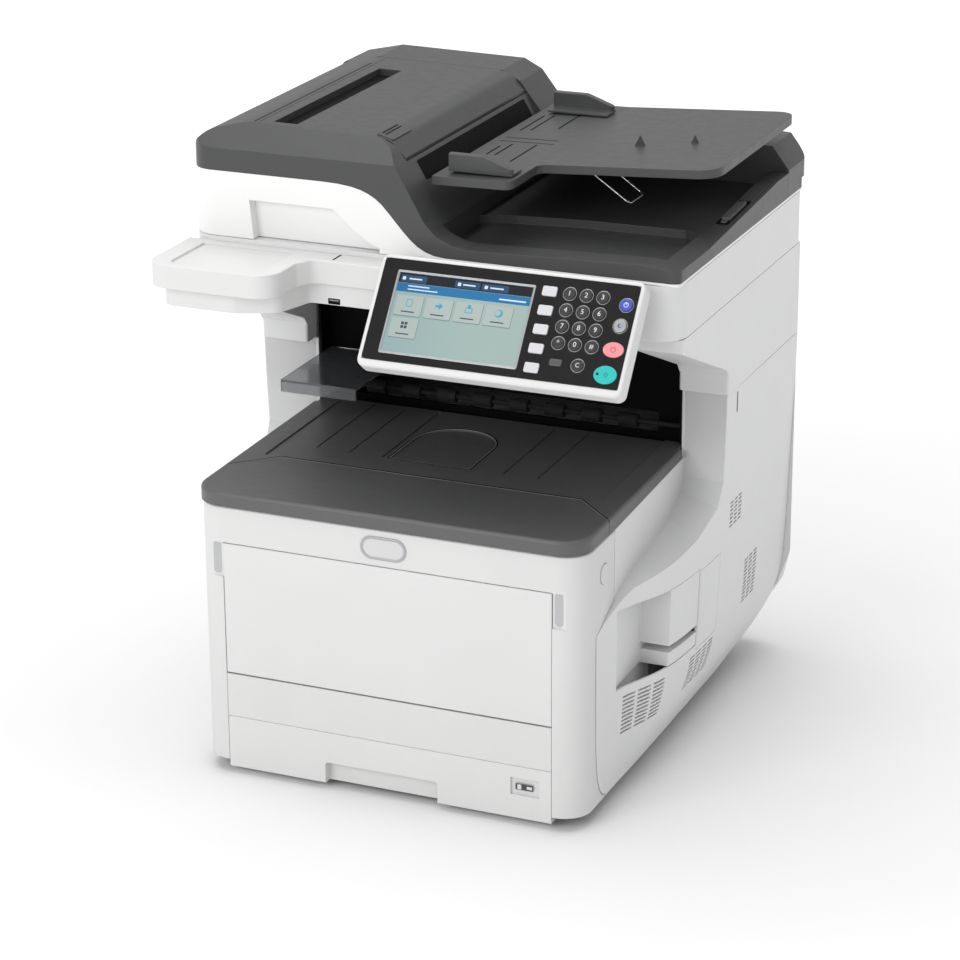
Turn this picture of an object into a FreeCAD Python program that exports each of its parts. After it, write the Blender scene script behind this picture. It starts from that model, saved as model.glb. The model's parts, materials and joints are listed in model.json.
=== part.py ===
"""Desktop A3 copier: print engine, scanner with document feeder, tilting panel and side covers.

Every piece is modelled in the engine frame, in millimetres: X runs from the engine's left side to
its right, Y from its front door to the rear, Z up from the floor.  Each piece's Placement then moves
it to the machine's own frame, whose origin is on the floor under the middle of the machine.
"""
import FreeCAD, Part
import math
import os
import re
import Sketcher
from FreeCAD import Placement, Rotation, Vector

SIZES = {
    # engine box
    "engine_width": 449, "front_plane": 0, "engine_rear": 535, "centre_x": 224.5, "centre_y": 296,
    "wall": 3, "gap": 0.6, "corner_radius": 31, "skirt_bottom": 16, "foot_height": 12, "foot_radius": 15,
    # front face
    "door_left": 33, "door_right": 415, "cassette_bottom": 8, "cassette_top": 69.3, "door_bottom": 120,
    "door_top": 272.6, "door_thick": 4, "front_top": 314, "front_wrap": 92, "finger_low": 233,
    "finger_wide": 16, "finger_deep": 2.2, "button_y": 61, "button_z": 277, "button_radius": 11,
    # cassette
    "cassette_slab": 14, "handle_left": 150, "handle_right": 283, "handle_top": 33, "handle_deep": 11,
    "window_left": 368, "window_right": 401, "window_low": 35, "window_high": 55,
    "tray_left": 40, "tray_right": 408, "tray_rear": 470, "tray_low": 17, "tray_high": 64, "tray_wall": 2,
    # output tray cover
    "cover_front": -4, "cover_low": 316, "cover_top": 332, "cover_crease": 119, "cover_rear": 322,
    "cover_rear_top": 335, "cover_rear_low": 325, "rim_left": 27, "rim_right": 422, "pan_front": 331.7,
    "pan_rear": 333.6, "seam": 1.3, "seam_deep": 2.2, "seam_side": 72, "crease_turn": 47, "arch_left": 158,
    "arch_right": 254, "arch_front": 161, "arch_apex": 276,
    # sheet metal
    "plate_left": 14, "plate_right": 433, "plate": 2, "chassis_front": 40, "chassis_rear": 532,
    "bay_wall": 336, "engine_deck": 300, "frame_top": 516,
    # side shells and uprights
    "seam_low": 408, "seam_gap": 0.8, "scanner_low": 517, "shell_out": 506, "pillar_face": 287,
    "arm_front": 136, "arm_tip": 501, "arm_elbow_y": 280, "arm_elbow_z": 440,
    # rear
    "rear_start": 535.6, "rear_face": 575, "rear_bulge": 596, "rear_low": 34,
    "rear_out": 56,
    # scanner and lid
    "scanner_left": -57, "scanner_right": 506, "scanner_front": 120, "scanner_rear": 535,
    "scanner_top": 577, "lid_low": 577.8, "lid_rear": 534, "ridge_front": 484, "ridge_rear": 552,
    "feeder_front": 150, "return_floor": 584, "hinge_y": 545, "hinge_z": 582,
    "glass_left": 8, "glass_right": 444,
    "glass_front": 150, "glass_rear": 458, "deck": 4, "cushion_sunk": 1.4,
    # document feeder
    "feeder_left": 16.6, "feeder_right": 188, "feeder_floor": 673, "feeder_top": 699.7,
    "table_left": 215, "table_step": 305, "table_right": 505, "table_front": 157, "table_notch": 235,
    "table_rear": 513, "table_thick": 5, "table_rim": 4.4, "rim_wide": 9,
    "table_low": 653, "table_mid": 655, "table_high": 667,
    "guide_left": 228, "guide_right": 300, "guide_low": 661, "guide_top": 680, "guide_thick": 9,
    "guide_front": 172,
    "guide_rear": 482, "guide_flange": 28,
    # operation panel, in its own tilted frame
    "panel_left": 193, "panel_y": 20, "panel_z": 495, "panel_angle": 53, "panel_wide": 284,
    "panel_tall": 113, "panel_rim": 5, "panel_back": 24, "panel_cavity": 8, "face_thick": 2.5,
    "screen_left": 19, "screen_right": 170, "screen_low": 10.5, "screen_high": 99,
    "key_base": 4.5, "key_top": 1.8, "key_clear": 0.4, "key_edge": 0.7,
    # stapler on the right side
    "staple_front": 85, "staple_head": 165, "staple_rear": 232, "staple_low": 135, "staple_high": 225,
    "staple_slot_low": 151, "staple_slot_high": 159, "hatch_front": 235, "hatch_rear": 292.5,
    "hatch_low": 129, "hatch_high": 222,
}

doc = FreeCAD.newDocument("copier")
sheet = doc.addObject("Spreadsheet::Sheet", "Sizes")
for row, (alias, size) in enumerate(SIZES.items(), start=1):
    sheet.set(f"A{row}", alias)
    sheet.set(f"B{row}", str(size))
    sheet.setAlias(f"B{row}", alias)
doc.recompute()

ALIAS = re.compile(r"\b(" + "|".join(sorted(SIZES, key=len, reverse=True)) + r")\b")
AXES = {"X": Vector(1, 0, 0), "Y": Vector(0, 1, 0), "Z": Vector(0, 0, 1)}
PLANES = {"XY": "XY_Plane", "XZ": "XZ_Plane", "YZ": "YZ_Plane"}
finished = []                   # every sub-part, in the order in which it is made


# ---------------------------------------------------------------- shared helpers

def mm(text):
    """A size written with the sheet's names, as a number."""
    return float(sheet.evalExpression(str(text)))


def on_sheet(text):
    """The same size as an expression that any object of the document can follow."""
    return ALIAS.sub(r"Sizes.\1", str(text))


def rect(low_u, high_u, low_v, high_v):
    return [(low_u, low_v), (high_u, low_v), (high_u, high_v), (low_u, high_v)]


def to_machine(thing):
    """Moves a finished piece from the engine frame to the machine frame."""
    thing.setExpression(".Placement.Base.x", "-Sizes.centre_x")
    thing.setExpression(".Placement.Base.y", "-Sizes.centre_y")
    finished.append(thing)
    return thing


def to_panel(thing):
    """Lays a piece that was drawn flat onto the tilted front of the operation panel."""
    thing.Placement = Placement(Vector(), Rotation(AXES["X"], mm("panel_angle")))
    thing.setExpression(".Placement.Base.x", "Sizes.panel_left - Sizes.centre_x")
    thing.setExpression(".Placement.Base.y", "Sizes.panel_y - Sizes.centre_y")
    thing.setExpression(".Placement.Base.z", "Sizes.panel_z")
    thing.setExpression(".Placement.Rotation.Angle", "Sizes.panel_angle")
    finished.append(thing)
    return thing


def along(axis, **where):
    """Picks straight edges parallel to an axis, through the coordinates given by name."""
    spots = {name: mm(text) for name, text in where.items()}

    def chosen(edge):
        if edge.Curve.TypeId != "Part::GeomLine":
            return False
        run = edge.Vertexes[-1].Point - edge.Vertexes[0].Point
        if run.cross(AXES[axis]).Length > 0.01 * run.Length:
            return False
        middle = edge.CenterOfMass
        return all(abs(getattr(middle, name) - spot) < 0.3 for name, spot in spots.items())
    return chosen


class Piece:
    """One PartDesign body, drawn with closed outlines on its own origin planes."""

    def __init__(self, label):
        self.body = doc.addObject("PartDesign::Body", label)
        self.steps = 0

    def sketch(self, plane, level, corners=(), disc=None):
        """An outline of straight sides, or a disc (u, v, radius), `level` along the plane's normal."""
        self.steps += 1
        drawing = self.body.newObject("Sketcher::SketchObject", f"{self.body.Name}_outline{self.steps}")
        origin = next(item for item in self.body.Origin.OriginFeatures if item.Role == PLANES[plane])
        drawing.AttachmentSupport = [(origin, "")]
        drawing.MapMode = "FlatFace"
        drawing.setExpression(".AttachmentOffset.Base.z", on_sheet(level))
        if disc:
            centre_u, centre_v, radius = disc
            circle = Part.Circle(Vector(mm(centre_u), mm(centre_v), 0), AXES["Z"], mm(radius))
            drawing.addGeometry(circle, False)
            self.drive(drawing, Sketcher.Constraint("Radius", 0, mm(radius)), radius)
            self.pin(drawing, 0, 3, centre_u, centre_v)
            return drawing
        spots = [Vector(mm(u), mm(v), 0) for u, v in corners]
        count = len(spots)
        sides = [Part.LineSegment(spots[i], spots[(i + 1) % count]) for i in range(count)]
        drawing.addGeometry(sides, False)
        for i in range(count):
            drawing.addConstraint(Sketcher.Constraint("Coincident", i, 2, (i + 1) % count, 1))
        for i, (u, v) in enumerate(corners):
            self.pin(drawing, i, 1, u, v)
        return drawing

    def pin(self, drawing, side, end, u, v):
        """Holds one point of a sketch at two driven distances from the origin."""
        self.drive(drawing, Sketcher.Constraint("DistanceX", -1, 1, side, end, mm(u)), u)
        self.drive(drawing, Sketcher.Constraint("DistanceY", -1, 1, side, end, mm(v)), v)

    @staticmethod
    def drive(drawing, constraint, text):
        index = drawing.addConstraint(constraint)
        drawing.setExpression(f"Constraints[{index}]", on_sheet(text))

    def feature(self, kind, plane, start, end, corners, disc):
        """A pad or pocket that fills start to end along the plane's axis (Y for the XZ plane)."""
        from_end = (kind == "Pocket") != (plane == "XZ")
        level = end if from_end else start
        if plane == "XZ":
            level = f"-({level})"
        drawing = self.sketch(plane, level, corners, disc)
        step = self.body.newObject(f"PartDesign::{kind}", f"{self.body.Name}_{kind.lower()}{self.steps}")
        step.Profile = drawing
        step.setExpression("Length", on_sheet(f"({end}) - ({start})"))
        before = 0 if kind == "Pad" else self.body.Shape.Volume
        doc.recompute()
        if kind == "Pocket" and self.body.Shape.Volume > before - 1e-6:
            raise ValueError(f"{step.Name} removes nothing")
        return self

    def pad(self, plane, start, end, corners=(), disc=None):
        return self.feature("Pad", plane, start, end, corners, disc)

    def pocket(self, plane, start, end, corners=(), disc=None):
        return self.feature("Pocket", plane, start, end, corners, disc)

    def round(self, radius, *choices):
        """Fillets the edges of the body that any of the choices picks."""
        tip = self.body.Tip
        names = [f"Edge{i}" for i, edge in enumerate(tip.Shape.Edges, start=1)
                 if any(chosen(edge) for chosen in choices)]
        self.steps += 1
        fillet = self.body.newObject("PartDesign::Fillet", f"{self.body.Name}_fillet{self.steps}")
        fillet.Base = (tip, names)
        fillet.setExpression("Radius", on_sheet(radius))
        doc.recompute()
        return self

    def done(self):
        return to_machine(self.body)


def box(name, x, y, z):
    """A Part box between pairs of driven coordinates."""
    solid = doc.addObject("Part::Box", name)
    for size, spot, (low, high) in zip(("Length", "Width", "Height"), "xyz", (x, y, z)):
        solid.setExpression(size, on_sheet(f"({high}) - ({low})"))
        solid.setExpression(f".Placement.Base.{spot}", on_sheet(low))
    return solid


def rod(name, axis, centre, radius, start, end):
    """A Part cylinder along X, Y or Z; centre holds the two other coordinates, in order."""
    solid = doc.addObject("Part::Cylinder", name)
    solid.setExpression("Radius", on_sheet(radius))
    solid.setExpression("Height", on_sheet(f"({end}) - ({start})"))
    turn = {"X": Rotation(AXES["Y"], 90), "Y": Rotation(AXES["X"], -90), "Z": Rotation()}[axis]
    solid.Placement = Placement(Vector(), turn)
    others = [name_ for name_ in "xyz" if name_ != axis.lower()]
    solid.setExpression(f".Placement.Base.{axis.lower()}", on_sheet(start))
    for spot, text in zip(others, centre):
        solid.setExpression(f".Placement.Base.{spot}", on_sheet(text))
    return solid


def fuse(name, parts):
    joined = doc.addObject("Part::MultiFuse", name)
    joined.Shapes = parts
    return joined


def cut(name, base, tool):
    trimmed = doc.addObject("Part::Cut", name)
    trimmed.Base = base
    trimmed.Tool = tool
    return trimmed


def group(name, parts):
    """Separate solids that share one node."""
    together = doc.addObject("Part::Compound", name)
    together.Links = parts
    return together


def freeform(label, shape):
    """A shape that needs smooth skins or ruled walls, made with Part's own functions."""
    piece = doc.addObject("Part::Feature", label)
    piece.Shape = shape
    piece.Placement = Placement(Vector(-mm("centre_x"), -mm("centre_y"), 0), Rotation())
    finished.append(piece)
    return piece


# ---------------------------------------------------------------- frame and feet

def chassis():
    """Welded sheet steel: floor pan, two side plates that step up behind the bay, and a rear plate."""
    step = [("chassis_front", "foot_height"), ("chassis_rear", "foot_height"),
            ("chassis_rear", "frame_top"), ("bay_wall + 10", "frame_top"),
            ("bay_wall + 10", "engine_deck - 6"), ("chassis_front", "engine_deck - 6")]
    frame = Piece("chassis")
    frame.pad("XY", "foot_height", "foot_height + plate",
              rect("plate_left", "plate_right + plate", "chassis_front", "chassis_rear"))
    frame.pad("YZ", "plate_left", "plate_left + plate", step)
    frame.pad("YZ", "plate_right", "plate_right + plate", step)
    frame.pad("XZ", "chassis_rear - plate", "chassis_rear",
              rect("plate_left", "plate_right + plate", "foot_height", "frame_top"))
    frame.done()


def feet():
    spots = [(x, y) for x in ("plate_left + 26", "plate_right - 24")
             for y in ("chassis_front + 20", "chassis_rear - 32")]
    pads = [rod(f"foot{i}", "Z", spot, "foot_radius", "0", "foot_height")
            for i, spot in enumerate(spots, start=1)]
    to_machine(group("feet", pads))


# ---------------------------------------------------------------- front

def front_cover():
    """White frame that wraps both front corners, with openings for the door and the cassette."""
    cover = Piece("front_cover_blank")
    cover.pad("XY", "skirt_bottom", "front_top", rect("0", "engine_width", "front_plane", "front_wrap"))
    cover.round("corner_radius", along("Z", x="0", y="0"), along("Z", x="engine_width", y="0"))
    cover.round("2.5", lambda edge: abs(edge.BoundBox.ZMin - mm("front_top")) < 0.1
                and edge.BoundBox.YMin < mm("front_wrap") - 1)
    inner = Piece("front_cover_room")
    inner.pad("XY", "skirt_bottom - gap", "front_top + gap",
              rect("wall", "engine_width - wall", "wall", "front_wrap + gap"))
    inner.round("corner_radius - wall", along("Z", x="wall", y="wall"),
                along("Z", x="engine_width - wall", y="wall"))
    door = box("door_opening", ("door_left", "door_right"), ("-gap", "wall + gap"),
               ("door_bottom - gap", "door_top + gap"))
    drawer = box("cassette_opening", ("door_left", "door_right"), ("-gap", "wall + gap"),
                 ("skirt_bottom - gap", "cassette_top"))
    strip = ("cassette_top - gap", "door_bottom")
    seams = [box(f"strip_seam{i}", (f"{x} - gap", x), ("-gap", "gap * 2"), strip)
             for i, x in enumerate(("door_left + gap", "door_right"), start=1)]
    fingers = [box(f"finger_recess{i}", (low, high), ("-gap", "finger_deep"), ("finger_low", "door_top"))
               for i, (low, high) in enumerate((("door_left - finger_wide", "door_left + gap"),
                                                ("door_right - gap", "door_right + finger_wide")), start=1)]
    hole = rod("button_hole", "X", ("button_y", "button_z"), "button_radius + gap",
               "engine_width - wall - gap", "engine_width + gap")
    tools = fuse("front_cover_cuts", [inner.body, door, drawer, hole] + seams + fingers)
    to_machine(cut("front_cover", cover.body, tools))


def front_door():
    """Bypass door: a slab with a rounded lower edge that turns about its own hinge line."""
    door = Piece("front_door")
    door.pad("XZ", "0", "door_thick",
             rect("door_left + gap", "door_right - gap", "door_bottom + gap", "door_top - gap"))
    door.round("door_thick / 2 - 0.1", along("X", z="door_bottom + gap"))
    door.round("1", along("X", y="0", z="door_top - gap"), along("Z", y="0", x="door_left + gap"),
               along("Z", y="0", x="door_right - gap"))
    door.pad("XZ", "door_thick", "door_thick + 8",
             rect("door_left + 60", "door_right - 60", "door_bottom + 30", "door_top - 20"))
    door.pocket("XZ", "door_thick + 4", "door_thick + 8",
                rect("door_left + 64", "door_right - 64", "door_bottom + 34", "door_top - 20"))
    door.done()


def release_button():
    button = rod("release_button", "X", ("button_y", "button_z"), "button_radius",
                 "engine_width - 9", "engine_width + 1.2")
    button.setExpression(".Placement.Base.x", "Sizes.engine_width - 9 - Sizes.centre_x")
    button.setExpression(".Placement.Base.y", "Sizes.button_y - Sizes.centre_y")
    finished.append(button)


def cassette():
    """Paper cassette: a thick front with a hand recess, and an open tray behind it."""
    front = Piece("cassette_front")
    front.pad("XZ", "0", "cassette_slab",
              rect("door_left + gap", "door_right - gap", "cassette_bottom", "cassette_top - gap"))
    front.round("1", along("X", y="0", z="cassette_top - gap"), along("X", y="0", z="cassette_bottom"))
    front.pocket("XZ", "0", "handle_deep",
                 rect("handle_left", "handle_right", "cassette_bottom", "handle_top"))
    front.round("4", along("Y", x="handle_left", z="handle_top"),
                along("Y", x="handle_right", z="handle_top"))
    front.pocket("XZ", "0", "wall", rect("window_left", "window_right", "window_low", "window_high"))
    front.done()
    tray = Piece("cassette_tray")
    tray.pad("XY", "tray_low", "tray_high", rect("tray_left", "tray_right", "cassette_slab", "tray_rear"))
    tray.pocket("XY", "tray_low + tray_wall", "tray_high",
                rect("tray_left + tray_wall", "tray_right - tray_wall",
                     "cassette_slab + tray_wall", "tray_rear - tray_wall"))
    tray.done()


# ---------------------------------------------------------------- output tray cover and bay

def top_cover():
    """Dark hinged cover: a front cap, a seam, then the output tray with grooves and an arched recess."""
    cover = Piece("top_cover")
    cover.pad("YZ", "-1", "engine_width + 1",
              [("cover_front", "cover_low"), ("cover_front", "cover_top"), ("cover_rear", "cover_rear_top"),
               ("cover_rear", "cover_rear_low"), ("front_wrap + 4", "cover_low")])
    sunk = [("cover_crease", "pan_front"), ("cover_rear + 2", "pan_rear"),
            ("cover_rear + 2", "cover_rear_top + 2"), ("cover_crease", "cover_rear_top + 2")]
    cover.pocket("YZ", "rim_left", "rim_right", sunk)
    cover.pocket("XY", "cover_low", "cover_top - 5",
                 [("6", "26"), ("26", "6"), ("engine_width - 26", "6"), ("engine_width - 6", "26"),
                  ("engine_width - 6", "cover_crease - 6"), ("6", "cover_crease - 6")])
    cover.pocket("YZ", "rim_left", "rim_right",
                 [("cover_crease", "cover_low - 2"), ("cover_rear - 6", "cover_low - 2"),
                  ("cover_rear - 6", "pan_rear - 4.6"), ("cover_crease", "pan_front - 4.6")])
    for middle, half in (("70", "1"), ("110", "1"), ("151", "1.8"), ("294", "1"), ("334", "1")):
        cover.pocket("YZ", f"{middle} - {half}", f"{middle} + {half}",
                     [("arch_front", "pan_front - 0.9"), ("cover_rear - 6", "pan_rear - 1.1"),
                      ("cover_rear - 6", "cover_rear_top + 1"), ("arch_front", "cover_rear_top + 1")])
    half = "(arch_right - arch_left) / 2"
    cover.pocket("XY", "pan_front - 0.9", "cover_rear_top",
                 rect("arch_left", "arch_right", "arch_front", f"arch_apex - {half}"))
    cover.pocket("XY", "pan_front - 0.9", "cover_rear_top",
                 disc=(f"arch_left + {half}", f"arch_apex - {half}", half))
    for low, high in (("-2", "4.4"), ("engine_width - 4.4", "engine_width + 2")):
        cover.pocket("XY", "cover_low - 14", "cover_rear_top + 1",
                     rect(low, high, "pillar_face + 12", "cover_rear + 1"))
    cover.round("corner_radius + 2", along("Z", x="-1", y="cover_front"),
                along("Z", x="engine_width + 1", y="cover_front"))
    cover.round("4", along("X", y="cover_front", z="cover_top"))
    cover.pocket("XY", "cover_top - seam_deep", "cover_rear_top",
                 [("-2", "seam_side"), ("crease_turn", "cover_crease - seam"),
                  ("engine_width - crease_turn", "cover_crease - seam"), ("engine_width + 2", "seam_side"),
                  ("engine_width + 2", "seam_side + seam"), ("engine_width - crease_turn", "cover_crease"),
                  ("crease_turn", "cover_crease"), ("-2", "seam_side + seam")])
    for low, high in (("-2", "seam - 1"), ("engine_width + 1 - seam", "engine_width + 2")):
        cover.pocket("XY", "cover_low - 1", "cover_rear_top",
                     rect(low, high, "seam_side", "seam_side + seam"))
    cover.done()


def exit_unit():
    """Black bay lining: back wall with the exit slot, two cheeks and a ceiling."""
    wall_x = ("wall + gap", "engine_width - wall - gap")
    back = box("bay_back", wall_x, ("bay_wall", "bay_wall + wall"), ("engine_deck + 2", "frame_top"))
    slot = box("bay_slot", ("40", "engine_width - 40"), ("bay_wall - 1", "bay_wall + wall + 1"),
               ("338", "362"))
    cheek_x = (("wall + gap", "wall * 2 + gap"),
               ("engine_width - wall * 2 - gap", "engine_width - wall - gap"))
    cheeks = [box(f"bay_cheek{i}", x, ("pillar_face + 23", "bay_wall"), ("cover_rear_top + 3", "frame_top"))
              for i, x in enumerate(cheek_x, start=1)]
    ceiling = box("bay_ceiling", wall_x, ("scanner_front + 4", "bay_wall"),
                  ("frame_top - wall", "frame_top"))
    walls = fuse("bay_walls", [back, ceiling] + cheeks)
    to_machine(cut("exit_unit", walls, slot))


def exit_rollers():
    """Driven exit shaft with eight soft rollers."""
    spot = ("bay_wall - 9", "352")
    parts = [rod("exit_shaft", "X", spot, "3", "wall * 2 + gap * 2", "engine_width - wall * 2 - gap * 2")]
    for i in range(8):
        start = f"58 + {i} * 44"
        parts.append(rod(f"exit_roller{i + 1}", "X", spot, "7.5", start, f"{start} + 22"))
    to_machine(fuse("exit_rollers", parts))


def paper_flap():
    """Smoked clear shelf on the left of the bay, with a lip turned down along its front."""
    flap = Piece("paper_flap")
    flap.pad("YZ", "8", "100",
             [("200", "378"), ("203", "378"), ("203", "389"), ("bay_wall - 4", "389"),
              ("bay_wall - 4", "392"), ("200", "392")])
    flap.round("8", along("Z", x="100", y="bay_wall - 4"))
    flap.done()


# ---------------------------------------------------------------- print engine internals

def imaging_units():
    """Four drum and toner units in a row under the output tray."""
    units = []
    for i in range(4):
        middle = f"72 + {i} * 62"
        hopper = rod(f"hopper{i + 1}", "X", (middle, "262"), "21", "40", "410")
        case = box(f"drum_case{i + 1}", ("44", "406"), (f"{middle} - 16", f"{middle} + 16"), ("226", "262"))
        drum = rod(f"drum{i + 1}", "X", (middle, "226"), "15", "50", "400")
        units.append(fuse(f"imaging_unit{i + 1}", [hopper, case, drum]))
    to_machine(group("imaging_units", units))


def transfer_belt_unit():
    """Endless belt round two rollers."""
    def loop(name, radius, low, high):
        ends = [rod(f"{name}_end{i}", "X", (y, "186"), radius, low, high)
                for i, y in enumerate(("66", "274"), start=1)]
        flat = box(f"{name}_flat", (low, high), ("66", "274"), (f"186 - {radius}", f"186 + {radius}"))
        return fuse(name, ends + [flat])
    belt = cut("belt", loop("belt_outside", "16.5", "42", "408"), loop("belt_inside", "15.5", "41", "409"))
    rollers = [rod(f"belt_roller{i}", "X", (y, "186"), "15.2", "36", "414")
               for i, y in enumerate(("66", "274"), start=1)]
    to_machine(group("transfer_belt_unit", [belt] + rollers))


def fuser_unit():
    """Heated roller pair in an open-sided case, behind the bay wall."""
    case = box("fuser_case", ("40", "410"), ("360", "440"), ("230", "325"))
    room = box("fuser_room", ("46", "404"), ("366", "434"), ("229", "319"))
    rollers = [rod(f"fuser_roller{i}", "X", (y, "275"), "14", "45", "405")
               for i, y in enumerate(("385.5", "414.5"), start=1)]
    to_machine(fuse("fuser_unit", [cut("fuser_shell", case, room)] + rollers))


# ---------------------------------------------------------------- side shells

SKIN_DEGREE = 3
FLARE_RISE = [(8, 0.6), (18, 2), (40, 13), (65, 28), (94, 40), (124, 47), (180, 50), (259, 52.5),
              (330, 55), (390, 57), (430, 57)]     # height, how far the shell stands out there
FLARE_RUN = [(28, 0.0), (45, 0.0), (70, 0.06), (98, 0.2), (125, 0.46), (152, 0.72), (190, 0.87),
             (240, 0.95), (300, 0.99), (380, 1.0), (460, 1.0), (545, 1.0)]   # depth, share of the full flare
INNER_EDGE = [(34, 17), (34, 211), (113, 244), (258, 268), (300, 286), (309, 300), (309, 408), (535, 408),
              (535, 32), (500, 28), (430, 18)]     # depth and height of the shell's outline on the engine
OUTER_EDGE = [(34, 17), (34, 226), (100, 248), (212, 264), (272, 281), (287, 309), (287, 408), (535, 408),
              (535, 60), (505, 34), (430, 18)]     # the same corners on the shell's outer plane
SLOT_TALL, SLOT_PITCH = 2.4, 4.7
VENTS = [(96, 80, 3, 10, 20), (221, 84, 4, 9, 15), (318, 244, 3, 7, 11), (382, 128, 3, 12, 13)]
# each vent: front edge, lowest slot, slots in a row, rows, slot length


def flare_solid(shift):
    """Everything inboard of the flared skin, moved inwards by `shift`."""
    grid = [[Vector(mm("engine_width") + share * out - shift, y, z) for z, out in FLARE_RISE]
            for y, share in FLARE_RUN]
    knots = [list(range(count - SKIN_DEGREE + 1)) for count in (len(FLARE_RUN), len(FLARE_RISE))]
    ends = SKIN_DEGREE + 1
    mults = [[ends] + [1] * (len(spots) - 2) + [ends] for spots in knots]
    skin = Part.BSplineSurface()
    skin.buildFromPolesMultsKnots(grid, *mults, *knots, False, False, SKIN_DEGREE, SKIN_DEGREE)
    return skin.toShape().extrude(Vector(-90, 0, 0))


def outline_wall(inset):
    """A wall between the inner and outer outlines, both drawn in by `inset`."""
    wires = []
    for edge, x in ((INNER_EDGE, mm("engine_width") + 0.2), (OUTER_EDGE, mm("shell_out") + 2)):
        corners = [Vector(x, y, z) for y, z in edge]
        wire = Part.makePolygon(corners + corners[:1])
        if inset:
            wire = Part.Wire(wire.makeOffset2D(-inset, 2).Edges)
        wires.append(wire)
    return Part.makeLoft(wires, True, True)


def slot(front, low, length):
    """One vent slot with round ends, through the skin."""
    half = SLOT_TALL / 2
    start, end = mm("engine_width"), mm("shell_out") + 4
    bar = Part.makeBox(end - start, length - SLOT_TALL, SLOT_TALL, Vector(start, front + half, low - half))
    ends = [Part.makeCylinder(half, end - start, Vector(start, y, low), AXES["X"])
            for y in (front + half, front + length - half)]
    return bar.fuse(ends)


def vent_slots():
    slots = []
    for front, low, columns, rows, length in VENTS:
        for column in range(columns):
            for level in range(rows):
                slots.append(slot(front + column * (length + 3), low + level * SLOT_PITCH, length))
    return Part.makeCompound(slots)


def between(x, y, z):
    """A plain box solid from three pairs of numbers."""
    return Part.makeBox(x[1] - x[0], y[1] - y[0], z[1] - z[0], Vector(x[0], y[0], z[0]))


def engine_side():
    """Flat side wall between the front cover and the rear, up to the output tray."""
    x = mm("engine_width") - mm("wall")
    corners = [Vector(x, y, z) for y, z in ((mm("front_wrap") + 0.6, 16), (535, 32), (535, 408), (309, 408),
                                            (309, 323.5), (mm("front_wrap") + 0.6, 315))]
    face = Part.Face(Part.makePolygon(corners + corners[:1]))
    wall = face.extrude(Vector(mm("wall") + 0.3, 0, 0))
    return wall.cut(between((x - 1, x + 9), (200, 500), (60, 240)))


def side_shell():
    """Hollow flared shell, without vents, on its flat wall."""
    outer = flare_solid(0).common(outline_wall(0))
    inner = flare_solid(mm("wall")).common(outline_wall(mm("wall")))
    return outer.cut(inner)


def side_shells():
    """Right shell with the stapler's window and hatch; the left one mirrors it without them."""
    skin = side_shell()
    wall = engine_side()
    vents = vent_slots()
    right_x = (mm("engine_width") - 5, mm("shell_out") + 5)
    window = between(right_x, (mm("staple_front") - 1, mm("staple_rear") + 0.4),
                     (mm("staple_low") - 1, mm("staple_high") + 1))
    gap = mm("gap")
    hatch_y = (mm("hatch_front"), mm("hatch_rear"))
    hatch_z = (mm("hatch_low"), mm("hatch_high"))
    hatch = between((mm("engine_width") + 6, mm("shell_out") + 5), hatch_y, hatch_z)
    hatch_hole = between((mm("engine_width") + 5, mm("shell_out") + 6),
                         (hatch_y[0] - gap, hatch_y[1] + gap), (hatch_z[0] - gap, hatch_z[1] + gap))
    plain = skin.fuse(wall).cut(vents)
    right = plain.cut(hatch_hole).cut(window)
    freeform("right_side_shell", right.removeSplitter())
    freeform("left_side_shell", plain.mirror(Vector(mm("centre_x"), 0, 0), AXES["X"]).removeSplitter())
    freeform("stapler_hatch", skin.common(hatch))


def stapler_housing():
    """Stapler head over its anvil, with the sheet slot between them, on a back plate."""
    x = (mm("engine_width") + 0.4, mm("shell_out") + 2)
    plate_x = (x[0], x[0] + mm("wall"))
    y = (mm("staple_head"), mm("staple_rear"))
    plate = between(plate_x, (mm("staple_front"), y[1]), (mm("staple_low"), mm("staple_high")))
    head = between(x, y, (mm("staple_slot_high"), mm("staple_high")))
    anvil = between(x, y, (mm("staple_low"), mm("staple_slot_low")))
    freeform("stapler_housing", plate.fuse([head, anvil]).common(flare_solid(0.6)))


def upper_side_panels():
    """Uprights that carry the scanner, each reaching forwards as an arm under it."""
    arm = Piece("right_upright")
    outline = [("arm_front", "scanner_low - seam_gap"), ("arm_front", "arm_tip"),
               ("arm_elbow_y", "arm_elbow_z"), ("pillar_face", "arm_elbow_z - 9"),
               ("pillar_face", "seam_low + seam_gap"), ("engine_rear", "seam_low + seam_gap"),
               ("engine_rear", "scanner_low - seam_gap")]
    arm.pad("YZ", "engine_width + 0.3", "shell_out", outline)
    arm.round("10", along("X", y="arm_elbow_y", z="arm_elbow_z"))
    arm.round("3", along("Z", x="shell_out", y="pillar_face"),
              along("Z", x="engine_width + 0.3", y="pillar_face"),
              along("X", y="arm_front", z="arm_tip"))
    arm.pocket("YZ", "engine_width + 0.3 + wall", "shell_out - wall",
               [("pillar_face + 12", "scanner_low - seam_gap - wall"), ("pillar_face + 12", "seam_low + 6"),
                ("engine_rear + 2", "seam_low + 6"), ("engine_rear + 2", "scanner_low - seam_gap - wall")])
    mirrored = doc.addObject("Part::Mirroring", "left_upright")
    mirrored.Source = arm.body
    mirrored.Normal = AXES["X"]
    mirrored.setExpression(".Base.x", "Sizes.centre_x")
    to_machine(group("upper_side_panels", [arm.body, mirrored]))


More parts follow.
